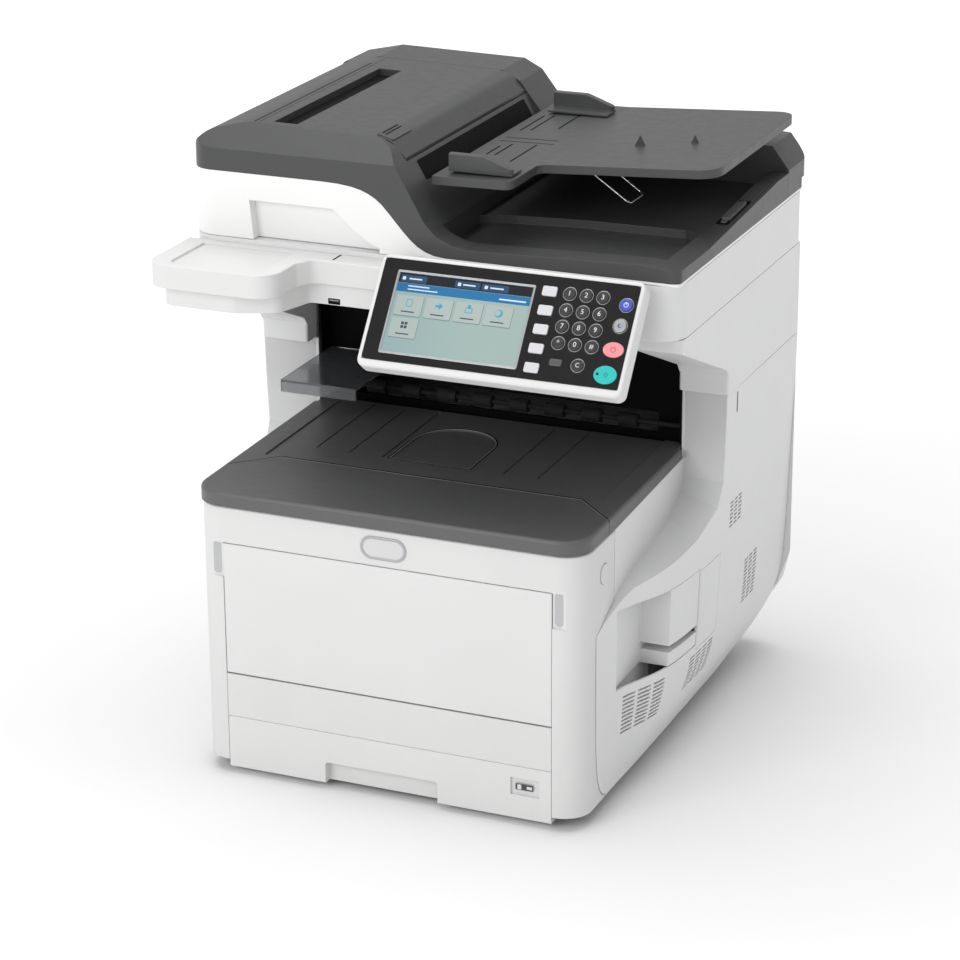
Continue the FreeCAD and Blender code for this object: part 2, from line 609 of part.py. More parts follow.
def rear_cover():
    """Rear shell with a raised duct, a socket recess and the power switch's hole."""
    cover = Piece("rear_cover")
    cover.pad("XY", "rear_low", "frame_top",
              [("-rear_out", "rear_start"), ("engine_width + rear_out", "rear_start"),
               ("engine_width + 30", "rear_face"), ("-30", "rear_face")])
    cover.round("12", along("Z", x="engine_width + 30", y="rear_face"), along("Z", x="-30", y="rear_face"))
    cover.pad("XZ", "rear_face - 1", "rear_bulge", rect("60", "engine_width - 60", "200", "430"))
    cover.round("6", along("X", y="rear_bulge", z="430"), along("Z", x="60", y="rear_bulge"),
                along("Z", x="engine_width - 60", y="rear_bulge"), along("X", y="rear_bulge", z="200"))
    for outward in ("-", "engine_width + "):
        cover.pocket("XZ", "rear_start - 1", "rear_face + 1",
                     [(f"{outward}4", "rear_low - 1"), (f"{outward}42", "95"),
                      (f"{outward}(rear_out + 1)", "140"), (f"{outward}(rear_out + 2)", "rear_low - 1")])
    cover.pocket("XZ", "rear_start", "rear_face - wall",
                 [("2", "rear_low + wall"), ("engine_width - 2", "rear_low + wall"),
                  ("engine_width + 24", "90"), ("engine_width + 24", "frame_top - wall"),
                  ("-24", "frame_top - wall"), ("-24", "90")])
    cover.pocket("XZ", "rear_face - 8", "rear_bulge - wall",
                 rect("60 + wall", "engine_width - 60 - wall", "200 + wall", "430 - wall"))
    cover.pocket("XZ", "rear_face - wall - 1", "rear_face + 1", rect("392", "412", "92", "120"))
    cover.done()


def power_switch():
    """Rocker in the rear cover; it turns about the middle of its length."""
    rocker = Piece("power_switch")
    rocker.pad("XZ", "rear_face - 6", "rear_face + 1", rect("393", "411", "94", "118"))
    rocker.round("2.5", along("X", y="rear_face + 1", z="94"), along("X", y="rear_face + 1", z="118"))
    rocker.done()


# ---------------------------------------------------------------- scanner

def scanner_base():
    """White scanner box, open under its glass, with two arms that carry the operation panel."""
    base = Piece("scanner_base")
    base.pad("XY", "scanner_low", "scanner_top",
             rect("scanner_left", "scanner_right", "scanner_front", "scanner_rear"))
    base.round("30", along("Z", x="scanner_left", y="scanner_front"),
               along("Z", x="scanner_right", y="scanner_front"))
    base.round("8", along("Z", x="scanner_left", y="scanner_rear"),
               along("Z", x="scanner_right", y="scanner_rear"))
    base.pocket("XY", "scanner_low + wall", "scanner_top - deck",
                rect("scanner_left + 12", "scanner_right - 12", "scanner_front + 12", "scanner_rear - 12"))
    base.pocket("XY", "scanner_top - deck - 1", "scanner_top",
                rect("glass_left", "glass_right", "glass_front", "glass_rear"))
    for side in ("panel_left + 30", "panel_left + panel_wide - 50"):
        base.pad("YZ", side, f"{side} + 20",
                 [("scanner_front - 8", "scanner_top - 24"), ("scanner_front + 1", "scanner_top - 40"),
                  ("scanner_front + 1", "scanner_top - 8"), ("scanner_front - 8", "scanner_top - 8")])
    base.done()


def platen_glass():
    glass = box("platen_glass", ("glass_left", "glass_right"), ("glass_front", "glass_rear"),
                ("scanner_top - deck", "scanner_top - 0.4"))
    glass.setExpression(".Placement.Base.x", "Sizes.glass_left - Sizes.centre_x")
    glass.setExpression(".Placement.Base.y", "Sizes.glass_front - Sizes.centre_y")
    finished.append(glass)


def scan_carriage():
    """Lamp and mirror carriage under the glass, with the lamp trough along its top."""
    carriage = Piece("scan_carriage")
    carriage.pad("XZ", "glass_front", "glass_rear",
                 [("20", "532"), ("64", "532"), ("64", "558"), ("50", "566"), ("34", "566"), ("20", "558")])
    carriage.pocket("XZ", "glass_front + 6", "glass_rear - 6", rect("38", "46", "556", "567"))
    carriage.done()


def left_shelf():
    """Shelf in front of the scanner's left side, with a raised rim and a bulge beneath."""
    shelf = Piece("left_shelf")
    shelf.pad("XY", "546", "572",
              [("scanner_left", "scanner_front - 0.4"), ("scanner_left", "15"), ("94", "15"), ("94", "72"),
               ("106", "92"), ("panel_left - 8", "92"), ("panel_left - 8", "scanner_front - 0.4")])
    shelf.round("26", along("Z", x="scanner_left", y="15"), along("Z", x="94", y="15"))
    shelf.round("10", along("Z", x="94", y="72"), along("Z", x="106", y="92"))
    shelf.round("1.5", lambda edge: abs(edge.BoundBox.ZMin - 572) < 0.01
                and edge.BoundBox.YMax < mm("scanner_front") - 1)
    shelf.pocket("XY", "569.5", "572", rect("scanner_left + 24", "76", "24", "scanner_front - 14"))
    shelf.round("12", along("Z", x="76", y="24"), along("Z", x="scanner_left + 24", y="24"))
    shelf.pad("XY", "522", "546",
              [("-47", "scanner_front - 0.4"), ("-47", "32"), ("40", "32"), ("84", "50"), ("98", "98"),
               ("panel_left - 12", "98"), ("panel_left - 12", "scanner_front - 0.4")])
    shelf.round("16", along("Z", x="-47", y="32"), along("Z", x="84", y="50"), along("Z", x="40", y="32"))
    shelf.round("8", along("Z", x="98", y="98"))
    shelf.done()


# ---------------------------------------------------------------- lid and document feeder

BAND_LOW = [("scanner_left", "650"), ("103", "650"), ("122", "649.4"), ("138", "647.6"), ("149", "645"),
            ("158", "641.5"), ("166", "637"), ("173", "631.5"), ("181", "623"), ("198", "604"),
            ("206", "596"), ("214", "589.6"), ("223", "584.8"), ("233", "581.8"), ("246", "580.5"),
            ("scanner_right", "580.5")]
BAND_HIGH = [("scanner_right", "594"), ("471", "598"), ("273", "592"), ("255", "594"), ("236", "602"),
             ("222", "616"), ("204", "648"), ("190", "672"), ("178", "688"), ("160", "697"), ("5", "700"),
             ("-40", "690"), ("scanner_left", "670")]
BAND_BENDS = [("30", "-40", "690"), ("80", "5", "700"), ("28", "160", "697"), ("22", "178", "688"),
              ("20", "222", "616"), ("30", "236", "602"), ("50", "255", "594")]    # radius, bend
RIDGE_HIGH = [("scanner_right", "612"), ("486", "638"), ("212", "648"), ("196", "668"), ("182", "686"),
              ("160", "697"), ("5", "700"), ("-40", "690"), ("scanner_left", "670")]


def lid_lower_shell():
    """White lower half of the lid, with the lifting grip in its front."""
    shell = Piece("lid_lower_shell")
    shell.pad("XZ", "scanner_front", "lid_rear",
              [("scanner_left", "lid_low"), ("scanner_right", "lid_low")] + BAND_LOW[::-1])
    shell.round("30", along("Z", x="scanner_left", y="scanner_front"))
    shell.pocket("XY", "lid_low + wall", "651",
                 rect("scanner_left + 6", "178", "scanner_front + 20", "lid_rear - 5"))
    shell.pocket("XZ", "scanner_front", "scanner_front + 13",
                 [("21", "lid_low"), ("17", "621"), ("116", "621"), ("139", "601"), ("158", "588"),
                  ("170", "583"), ("170", "lid_low")])
    shell.pocket("XY", "lid_low + 14", "651",
                 rect("scanner_left - 1", "scanner_right + 1", "ridge_front", "lid_rear + 1"))
    shell.pocket("XY", "lid_low", "lid_low + cushion_sunk",
                 rect("glass_left + 6", "glass_right - 6", "glass_front + 6", "glass_rear - 6"))
    shell.done()


def lid_top_cover():
    """Dark upper half: feeder body on the left, sheet tray on the right, hinge ridge at the rear."""
    cover = Piece("lid_top_cover")
    cover.pad("XZ", "scanner_front", "ridge_front", BAND_LOW + BAND_HIGH)
    for radius, x, z in BAND_BENDS:
        cover.round(radius, along("Y", x=x, z=z))
    cover.round("29", along("Z", x="scanner_left", y="scanner_front"))
    cover.round("10", along("Z", x="scanner_right", y="scanner_front"))
    cover.pocket("YZ", "scanner_left - 1", "232",
                 [("scanner_front - 1", "674"), ("feeder_front", "701"), ("scanner_front - 1", "701")])
    cover.pocket("XY", "return_floor", "616", rect("230", "482", "feeder_front", "ridge_front"))
    cover.pad("XY", "return_floor - 1", "return_floor + 9",
              [("229", "250"), ("270", "262"), ("346", "272"), ("458", "275"), ("483", "260"),
               ("483", "ridge_front + 1"), ("229", "ridge_front + 1")])
    cover.pocket("XY", "return_floor - 1", "return_floor + 1", rect("298", "460", "169.4", "170.6"))
    cover.pocket("XY", "feeder_floor - 0.6", "702",
                 rect("feeder_left - gap", "feeder_right + 14", "feeder_front", "ridge_front"))
    cover.pocket("XY", "648", "feeder_floor", rect("80", "150", "feeder_front + 30", "ridge_front - 30"))
    cover.pad("YZ", "484", "scanner_right",
              [("180", "592"), ("445", "609"), ("ridge_front", "609"), ("ridge_front", "592")])
    cover.pad("XZ", "ridge_front", "ridge_rear",
              [("scanner_left", "lid_low + 14"), ("scanner_right", "lid_low + 14")] + RIDGE_HIGH)
    cover.pad("XZ", "ridge_front", "lid_rear",
              BAND_LOW + [("scanner_right", "600"), ("scanner_left", "660")])
    cover.round("12", along("Z", x="scanner_left", y="ridge_rear"),
                along("Z", x="scanner_right", y="ridge_rear"))
    cover.pocket("XZ", "ridge_front - 0.5", "ridge_front + 0.5",
                 rect("scanner_right - 1", "scanner_right + 1", "lid_low + 15", "620"))
    for start in ("50.5", "390.5"):
        cover.pad("XZ", "hinge_y - 5", "hinge_y + 5",
                  rect(start, f"{start} + 9", "hinge_z", "lid_low + 16"))
        cover.pad("YZ", start, f"{start} + 9", disc=("hinge_y", "hinge_z", "8"))
        cover.pocket("YZ", start, f"{start} + 9", disc=("hinge_y", "hinge_z", "3.06"))
    cover.done()


def lid_hinges():
    """Two steel hinges: cheeks on the scanner's rear wall and the pin between them."""
    hinges = []
    for number, start in enumerate(("40", "380"), start=1):
        parts = [box(f"hinge_plate{number}", (start, f"{start} + 30"),
                     ("scanner_rear", "scanner_rear + wall"), ("scanner_top - 44", "scanner_top - 4"))]
        for side in ("0", "20"):
            low = f"{start} + {side}"
            x = (low, f"{low} + 10")
            parts.append(box(f"hinge_arm{number}_{side}", x, ("scanner_rear", "hinge_y + 6"),
                             ("scanner_top - 44", "scanner_top - 8")))
            parts.append(box(f"hinge_neck{number}_{side}", x, ("hinge_y - 6", "hinge_y + 6"),
                             ("scanner_top - 9", "hinge_z")))
            parts.append(rod(f"hinge_eye{number}_{side}", "X", ("hinge_y", "hinge_z"), "6", *x))
        parts.append(rod(f"hinge_pin{number}", "X", ("hinge_y", "hinge_z"), "3", start, f"{start} + 30"))
        hinges.append(fuse(f"lid_hinge{number}", parts))
    to_machine(group("lid_hinges", hinges))


def platen_cushion():
    """White pressure pad that holds the original on the glass."""
    pad = Piece("platen_cushion")
    pad.pad("XY", "scanner_top + 0.3", "lid_low + cushion_sunk",
            rect("glass_left + 6", "glass_right - 6", "glass_front + 6", "glass_rear - 6"))
    pad.done()


def feeder_cover():
    """Feeder's jam cover, hinged along its left edge, with the long dark slot in its top."""
    cover = Piece("feeder_cover")
    cover.pad("XZ", "feeder_front + gap", "ridge_front - gap",
              [("feeder_left", "feeder_floor"), ("feeder_right", "feeder_floor"),
               ("feeder_right", "feeder_floor + 3"), ("172", "693"), ("158", "697"),
               ("feeder_left", "feeder_top")])
    cover.round("14", along("Y", x="172", z="693"))
    cover.round("30", along("Y", x="158", z="697"))
    cover.pocket("XY", "feeder_floor", "feeder_top - 9",
                 rect("72", "166", "feeder_front + 20", "ridge_front - 20"))
    cover.pocket("XY", "feeder_top - 8", "feeder_top + 1", rect("30", "58", "feeder_front + 8", "430"))
    cover.done()


def feed_roller():
    parts = [rod("feed_shaft", "Y", ("115", "661"), "3", "190", "444")]
    for i, start in enumerate(("240", "300", "360"), start=1):
        parts.append(rod(f"feed_tyre{i}", "Y", ("115", "661"), "9", start, f"{start} + 34"))
    to_machine(fuse("feed_roller", parts))


def document_tray():
    """Sheet table of the feeder, rising to the right, with a cut-away front corner."""
    table = Piece("document_tray")
    table.pad("XZ", "table_front", "table_rear",
              [("table_left", "table_low - table_rim"), ("table_step", "table_mid - table_rim"),
               ("table_right", "table_high - table_rim"), ("table_right", "table_high + table_thick"),
               ("table_step", "table_mid + table_thick"), ("table_left", "table_low + table_thick")])
    table.pocket("XZ", "table_notch + rim_wide", "table_rear - rim_wide",
                 [("table_left + rim_wide", "table_low - 9"), ("table_left + rim_wide", "table_low"),
                  ("table_step", "table_mid"), ("table_right - rim_wide", "table_high"),
                  ("table_right - rim_wide", "table_low - 9")])
    table.pocket("XZ", "table_front + rim_wide", "table_notch + rim_wide + 1",
                 [("table_left + rim_wide", "table_low - 9"), ("table_left + rim_wide", "table_low"),
                  ("table_step - rim_wide", "table_mid"), ("table_step - rim_wide", "table_low - 9")])
    table.pocket("XY", "table_low - 9", "table_high + 9",
                 rect("table_step", "table_right + 2", "table_front - 1", "table_notch"))
    table.round("24", along("Z", x="table_right", y="table_notch"),
                along("Z", x="table_right", y="table_rear"))
    table.round("10", along("Z", x="table_step", y="table_notch"),
                along("Z", x="table_step", y="table_front"))
    for x, y in (("385", "330"), ("440", "352")):
        table.pad("XZ", y, f"{y} + 2.4", [(f"{x} - 9", "table_mid + 4"), (f"{x} + 9", "table_mid + 4"),
                                          (x, "table_high + 10")])
    table.done()


def document_guides():
    """Two side guides that close on the sheets together."""
    wall_top = [("guide_left", "guide_low"), ("guide_right", "guide_low"),
                ("guide_right", "guide_low + 7"), ("guide_right - 34", "guide_top"),
                ("guide_left", "guide_top")]
    guides = {
        "document_guide_front": (("guide_front", "guide_front + guide_thick"),
                                 ("guide_front", "guide_front + guide_flange")),
        "document_guide_rear": (("guide_rear - guide_thick", "guide_rear"),
                                ("guide_rear - guide_flange", "guide_rear")),
    }
    for label, (wall_y, flange_y) in guides.items():
        guide = Piece(label)
        guide.pad("XZ", *wall_y, wall_top)
        guide.round("guide_thick / 2 - 0.1", *(along("Z", x="guide_right", y=y) for y in wall_y))
        guide.round("1.2", *(along("X", y=y, z="guide_top") for y in wall_y))
        guide.pad("XY", "guide_low", "guide_low + 2", rect("guide_left", "guide_right", *flange_y))
        guide.done()


def stopper_wire():
    """Bent wire loop that hangs from pivots under the sheet table and stops the returned sheets."""
    radius, bend = 1.1, 6
    top, low, across = Vector(352, 260, 653), Vector(400, 260, 620), Vector(0, 42, 0)
    corners = [top, low, low + across, top + across]
    path = []
    for i, corner in enumerate(corners):
        back = (corners[i - 1] - corner).normalize() * bend
        ahead = (corners[(i + 1) % 4] - corner).normalize() * bend
        middle = corner + (back + ahead) * (1 - math.sqrt(0.5))
        if path:
            path.append(Part.makeLine(path[-1].Vertexes[-1].Point, corner + back))
        path.append(Part.Arc(corner + back, middle, corner + ahead).toShape())
    path.append(Part.makeLine(path[-1].Vertexes[-1].Point, path[0].Vertexes[0].Point))
    start = path[1]
    profile = Part.Wire(Part.makeCircle(radius, start.Vertexes[0].Point, start.tangentAt(0)))
    spine = Part.Wire(path[1:] + path[:1])
    freeform("stopper_wire", spine.makePipeShell([profile], True, False))


# ---------------------------------------------------------------- operation panel

KEY_ROWS = ["96", "78", "60.2", "42.2"]
KEY_COLUMNS = ["210", "228.3", "246.5"]
DIGITS = ["key_1", "key_2", "key_3", "key_4", "key_5", "key_6", "key_7", "key_8", "key_9",
          "key_star", "key_0", "key_hash"]
FUNCTION_KEYS = [("copy_key", "96.2"), ("scan_key", "75.3"), ("print_key", "54.5"), ("fax_key", "33.5"),
                 ("reset_key", "12.5")]
ROUND_KEYS = [("clear_key", "236.3", "20.8", "6.2"), ("login_key", "272.8", "90.8", "6.6"),
              ("power_save_key", "271.3", "68", "6.8")]
ROUND_KEYS += [(name, KEY_COLUMNS[i % 3], KEY_ROWS[i // 3], "6.2") for i, name in enumerate(DIGITS)]
OVAL_KEYS = [("stop_key", "270.2", "41.9", "11.2", "8.2"), ("start_key", "267.8", "14.5", "12.5", "9.8")]
FUNCTION_KEY_X, FUNCTION_KEY_HALF = "188", ("8", "5.4")


def round_key(label, u, v, radius):
    key = Piece(label)
    key.pad("XY", "-key_base", "key_top", disc=(u, v, radius))
    key.round("key_edge", lambda edge: abs(edge.BoundBox.ZMin - mm("key_top")) < 0.01)
    to_panel(key.body)


def oval(name, u, v, major, minor, low, high):
    """An elliptical block between two heights."""
    outline = doc.addObject("Part::Ellipse", f"{name}_outline")
    outline.setExpression("MajorRadius", on_sheet(major))
    outline.setExpression("MinorRadius", on_sheet(minor))
    outline.setExpression(".Placement.Base.x", on_sheet(u))
    outline.setExpression(".Placement.Base.y", on_sheet(v))
    outline.setExpression(".Placement.Base.z", on_sheet(low))
    block = doc.addObject("Part::Extrusion", name)
    block.Base = outline
    block.DirMode = "Custom"
    block.Dir = AXES["Z"]
    block.setExpression("LengthFwd", on_sheet(f"({high}) - ({low})"))
    block.Solid = True
    return block


def oval_key(label, u, v, major, minor):
    blank = oval(f"{label}_blank", u, v, major, minor, "-key_base", "key_top")
    doc.recompute()
    top = next(i for i, edge in enumerate(blank.Shape.Edges, start=1)
               if abs(edge.BoundBox.ZMin - mm("key_top")) < 0.01)
    key = doc.addObject("Part::Fillet", label)
    key.Base = blank
    key.Edges = [(top, mm("key_edge"), mm("key_edge"))]
    to_panel(key)


def function_key(label, v):
    half_u, half_v = FUNCTION_KEY_HALF
    key = Piece(label)
    key.pad("XY", "-key_base", "key_top",
            rect(f"{FUNCTION_KEY_X} - {half_u}", f"{FUNCTION_KEY_X} + {half_u}",
                 f"{v} - {half_v}", f"{v} + {half_v}"))
    key.round("2", *(along("Z", x=f"{FUNCTION_KEY_X} {a} {half_u}", y=f"{v} {b} {half_v}")
                     for a in "+-" for b in "+-"))
    key.round("key_edge", lambda edge: abs(edge.BoundBox.ZMin - mm("key_top")) < 0.01)
    to_panel(key.body)


def panel_housing():
    """White tray of the operation panel, with a room behind the key plate."""
    shell = Piece("panel_housing")
    shell.pad("XY", "-panel_back", "0",
              rect("-panel_rim", "panel_wide + panel_rim", "-panel_rim * 1.6", "panel_tall + panel_rim"))
    shell.round("9", *(along("Z", x=x, y=y) for x in ("-panel_rim", "panel_wide + panel_rim")
                       for y in ("-panel_rim * 1.6", "panel_tall + panel_rim")))
    shell.round("3", lambda edge: abs(edge.BoundBox.ZMin) < 0.01 and abs(edge.BoundBox.ZMax) < 0.01)
    shell.round("8", lambda edge: abs(edge.BoundBox.ZMin + mm("panel_back")) < 0.01
                and abs(edge.BoundBox.ZMax + mm("panel_back")) < 0.01)
    shell.pocket("XY", "-face_thick", "1", rect("0", "panel_wide", "0", "panel_tall"))
    shell.pocket("XY", "-panel_cavity - 2", "0", rect("2", "panel_wide - 2", "2", "panel_tall - 2"))
    to_panel(shell.body)


def panel_face():
    """Black key plate with the screen's window and a hole for every key."""
    plate = Piece("panel_face_blank")
    plate.pad("XY", "-face_thick", "0.4", rect("0", "panel_wide", "0", "panel_tall"))
    plate.round("5", *(along("Z", x=x, y=y) for x in ("0", "panel_wide") for y in ("0", "panel_tall")))
    half_u, half_v = FUNCTION_KEY_HALF
    holes = [box("screen_window", ("screen_left", "screen_right"), ("screen_low", "screen_high"),
                 ("-face_thick - 1", "1"))]
    for name, v in FUNCTION_KEYS:
        u_range = tuple(f"{FUNCTION_KEY_X} {side} ({half_u} + key_clear)" for side in "-+")
        v_range = tuple(f"{v} {side} ({half_v} + key_clear)" for side in "-+")
        holes.append(box(f"{name}_hole", u_range, v_range, ("-face_thick - 1", "1")))
    for name, u, v, radius in ROUND_KEYS:
        holes.append(rod(f"{name}_hole", "Z", (u, v), f"{radius} + key_clear", "-face_thick - 1", "1"))
    for name, u, v, major, minor in OVAL_KEYS:
        holes.append(oval(f"{name}_hole", u, v, f"{major} + key_clear", f"{minor} + key_clear",
                          "-face_thick - 1", "1"))
    to_panel(cut("panel_face", plate.body, fuse("panel_face_holes", holes)))


def screen_glass():
    glass = Piece("screen_glass")
    glass.pad("XY", "-face_thick", "-0.4", rect("screen_left", "screen_right", "screen_low", "screen_high"))
    to_panel(glass.body)


def panel_keys():
    for name, v in FUNCTION_KEYS:
        function_key(name, v)
    for name, u, v, radius in ROUND_KEYS:
        round_key(name, u, v, radius)
    for name, u, v, major, minor in OVAL_KEYS:
        oval_key(name, u, v, major, minor)


# ---------------------------------------------------------------- build, check and write

for make in (chassis, feet, front_cover, front_door, release_button, cassette, top_cover, exit_unit,
             exit_rollers, paper_flap, imaging_units, transfer_belt_unit, fuser_unit, side_shells,
             stapler_housing, upper_side_panels, rear_cover, power_switch, scanner_base, platen_glass,
             scan_carriage, left_shelf, lid_lower_shell, lid_top_cover, lid_hinges, platen_cushion,
             feeder_cover, feed_roller, document_tray, document_guides, stopper_wire, panel_housing,
             panel_face, screen_glass, panel_keys):
    make()
doc.recompute()

failed = [item.Label for item in doc.Objects if {"Invalid", "Error"} & set(item.State)]
if failed:
    raise ValueError(f"features that failed: {failed}")
os.makedirs("parts", exist_ok=True)
broken = [piece.Label for piece in finished if piece.Shape.isNull() or not piece.Shape.isValid()]
if broken:
    raise ValueError(f"sub-parts without a valid shape: {broken}")
for piece in finished:
    piece.Shape.exportStep(f"parts/{piece.Label}.step")
    extent = piece.Shape.BoundBox
    print(f"{piece.Label:24s} solids {len(piece.Shape.Solids)}  x {extent.XMin:7.1f} {extent.XMax:7.1f}"
          f"  y {extent.YMin:7.1f} {extent.YMax:7.1f}  z {extent.ZMin:6.1f} {extent.ZMax:6.1f}")
print(len(finished), "pieces written")
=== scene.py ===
"""Looks of the desktop copier: a material for every CAD node, trim, screen, lights and camera.

All lengths are metres in the row frame unless a name says mm.  Engine places are millimetres from
the engine's front left corner on the floor, and panel places are millimetres on the tilted panel.
"""
import json
import math

import bmesh
import bpy
from mathutils import Matrix, Vector


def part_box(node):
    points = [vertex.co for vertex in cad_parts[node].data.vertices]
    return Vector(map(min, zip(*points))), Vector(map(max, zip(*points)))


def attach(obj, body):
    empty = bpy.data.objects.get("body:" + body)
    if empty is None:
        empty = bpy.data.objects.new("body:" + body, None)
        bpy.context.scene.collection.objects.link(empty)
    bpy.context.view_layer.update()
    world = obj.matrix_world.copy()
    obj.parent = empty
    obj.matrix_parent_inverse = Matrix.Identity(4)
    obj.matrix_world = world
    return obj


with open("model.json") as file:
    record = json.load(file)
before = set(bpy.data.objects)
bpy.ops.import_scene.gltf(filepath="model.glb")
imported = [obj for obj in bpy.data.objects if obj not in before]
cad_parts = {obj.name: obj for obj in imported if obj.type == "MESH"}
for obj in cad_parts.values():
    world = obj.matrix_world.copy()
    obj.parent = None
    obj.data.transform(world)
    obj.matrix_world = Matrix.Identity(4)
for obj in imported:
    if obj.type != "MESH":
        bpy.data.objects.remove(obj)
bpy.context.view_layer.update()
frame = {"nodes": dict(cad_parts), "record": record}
MM = 0.001


# ---------------------------------------------------------------- places

ENGINE_ORIGIN = Vector((-0.2245, -0.296, 0.0))
PANEL_CORNER = ENGINE_ORIGIN + Vector((193, 20, 495)) * MM
PANEL = Matrix.Translation(PANEL_CORNER) @ Matrix.Rotation(math.radians(53), 4, "X")


def engine(x, y, z):
    """A place in the engine's millimetres, in the row frame."""
    return ENGINE_ORIGIN + Vector((x, y, z)) * MM


def facing(origin, normal, up=(0, 0, 1)):
    """A frame whose local Z points along a surface's normal and whose local Y points up."""
    out = Vector(normal).normalized()
    side = Vector(up).cross(out).normalized()
    rows = Matrix((side, out.cross(side), out)).transposed().to_4x4()
    return Matrix.Translation(origin) @ rows


def surface(node, start, heading):
    """Where a line first meets a CAD node, and the surface's normal there."""
    hit, place, normal, _ = frame["nodes"][node].ray_cast(start, Vector(heading).normalized())
    if not hit:
        raise ValueError(f"nothing of {node} on that line")
    return place, normal


# ---------------------------------------------------------------- materials

def nodes_of(name):
    made = bpy.data.materials.new(name)
    made.use_nodes = True
    tree = made.node_tree
    shader = tree.nodes["Principled BSDF"]
    return made, tree, shader


def noise(tree, size, detail=3.0, squeeze=(1, 1, 1)):
    """Noise whose features are about `size` metres across."""
    coords = tree.nodes.new("ShaderNodeTexCoord")
    mapping = tree.nodes.new("ShaderNodeMapping")
    mapping.inputs["Scale"].default_value = squeeze
    texture = tree.nodes.new("ShaderNodeTexNoise")
    texture.inputs["Scale"].default_value = 1 / size
    texture.inputs["Detail"].default_value = detail
    tree.links.new(coords.outputs["Object"], mapping.inputs["Vector"])
    tree.links.new(mapping.outputs["Vector"], texture.inputs["Vector"])
    return texture.outputs["Fac"]


def spread(tree, value, low, high, from_low=0.3, from_high=0.7):
    """Maps a noise value onto a range."""
    ranged = tree.nodes.new("ShaderNodeMapRange")
    ranged.inputs["From Min"].default_value = from_low
    ranged.inputs["From Max"].default_value = from_high
    ranged.inputs["To Min"].default_value = low
    ranged.inputs["To Max"].default_value = high
    tree.links.new(value, ranged.inputs["Value"])
    return ranged.outputs["Result"]


def blend_colours(tree, factor, low, high):
    mix = tree.nodes.new("ShaderNodeMix")
    mix.data_type = "RGBA"
    mix.inputs["A"].default_value = (*low, 1)
    mix.inputs["B"].default_value = (*high, 1)
    tree.links.new(factor, mix.inputs["Factor"])
    return mix.outputs["Result"]


def shade(colour, by):
    return tuple(max(0.0, channel * by) for channel in colour)


def relief(tree, shader, grain, depth, edge):
    """Fine moulded grain over softly rounded edges; returns a mask of those edges."""
    rounded = tree.nodes.new("ShaderNodeBevel")
    rounded.samples = 4
    rounded.inputs["Radius"].default_value = edge
    bump = tree.nodes.new("ShaderNodeBump")
    bump.inputs["Strength"].default_value = 0.6
    bump.inputs["Distance"].default_value = depth
    tree.links.new(noise(tree, grain, 2.0), bump.inputs["Height"])
    tree.links.new(rounded.outputs["Normal"], bump.inputs["Normal"])
    tree.links.new(bump.outputs["Normal"], shader.inputs["Normal"])
    flat = tree.nodes.new("ShaderNodeNewGeometry")
    turned = tree.nodes.new("ShaderNodeVectorMath")
    turned.operation = "DOT_PRODUCT"
    tree.links.new(rounded.outputs["Normal"], turned.inputs[0])
    tree.links.new(flat.outputs["Normal"], turned.inputs[1])
    return spread(tree, turned.outputs["Value"], 1.0, 0.0, 0.86, 0.995)


def moulded(name, colour, rough=0.42, grain=0.0009, depth=0.00003, mottle=0.012, edge=0.0009, edge_wear_and_highlight=0.06,
            **shader_values):
    """Injection-moulded plastic: faint mottling, spark-eroded grain, and rounded edges lightened, partly by
    rubbing and partly as a painted highlight.
    """
    made, tree, shader = nodes_of(name)
    edges = relief(tree, shader, grain, depth, edge)
    body = blend_colours(tree, spread(tree, noise(tree, 0.09), 0, 1), shade(colour, 1 - mottle),
                         shade(colour, 1 + mottle))
    mix = tree.nodes.new("ShaderNodeMix")
    mix.data_type = "RGBA"
    # Lighter colour for the rounded edges: partly rubbing, partly a painted highlight along them.
    worn_and_highlit_edge = tuple(min(1.0, channel * (1 + edge_wear_and_highlight * 4) + edge_wear_and_highlight * 0.2) for channel in colour)
    mix.inputs["B"].default_value = (*worn_and_highlit_edge, 1)
    tree.links.new(body, mix.inputs["A"])
    tree.links.new(edges, mix.inputs["Factor"])
    tree.links.new(mix.outputs["Result"], shader.inputs["Base Color"])
    tree.links.new(spread(tree, noise(tree, 0.012), rough - 0.02, rough + 0.04), shader.inputs["Roughness"])
    for key, value in shader_values.items():
        shader.inputs[key.replace("_", " ")].default_value = value
    return made


def metal(name, colour, rough=0.3, squeeze=(1, 1, 1), size=0.004, **shader_values):
    """Bare or plated steel with a drawn or spangled surface."""
    made, tree, shader = nodes_of(name)
    shader.inputs["Metallic"].default_value = 1.0
    relief(tree, shader, 0.0006, 0.00001, 0.0004)
    grain = noise(tree, size, 4.0, squeeze)
    tree.links.new(blend_colours(tree, spread(tree, grain, 0, 1), shade(colour, 0.82), shade(colour, 1.08)),
                   shader.inputs["Base Color"])
    tree.links.new(spread(tree, grain, rough - 0.07, rough + 0.12), shader.inputs["Roughness"])
    for key, value in shader_values.items():
        shader.inputs[key.replace("_", " ")].default_value = value
    return made


def clear(name, colour, rough, weight, ior=1.49):
    """Clear or smoked sheet with faint handling haze."""
    made, tree, shader = nodes_of(name)
    shader.inputs["Transmission Weight"].default_value = weight
    shader.inputs["IOR"].default_value = ior
    haze = noise(tree, 0.03)
    tree.links.new(blend_colours(tree, spread(tree, haze, 0, 1), shade(colour, 0.95), shade(colour, 1.03)),
                   shader.inputs["Base Color"])
    tree.links.new(spread(tree, haze, rough * 0.6, rough * 1.6), shader.inputs["Roughness"])
    return made


def rubber(name, colour):
    """Matt rubber: coarse grain, with its rounded edges lightened as dust and a painted highlight."""
    return moulded(name, colour, rough=0.82, grain=0.0016, depth=0.00008, mottle=0.18, edge_wear_and_highlight=0.05)


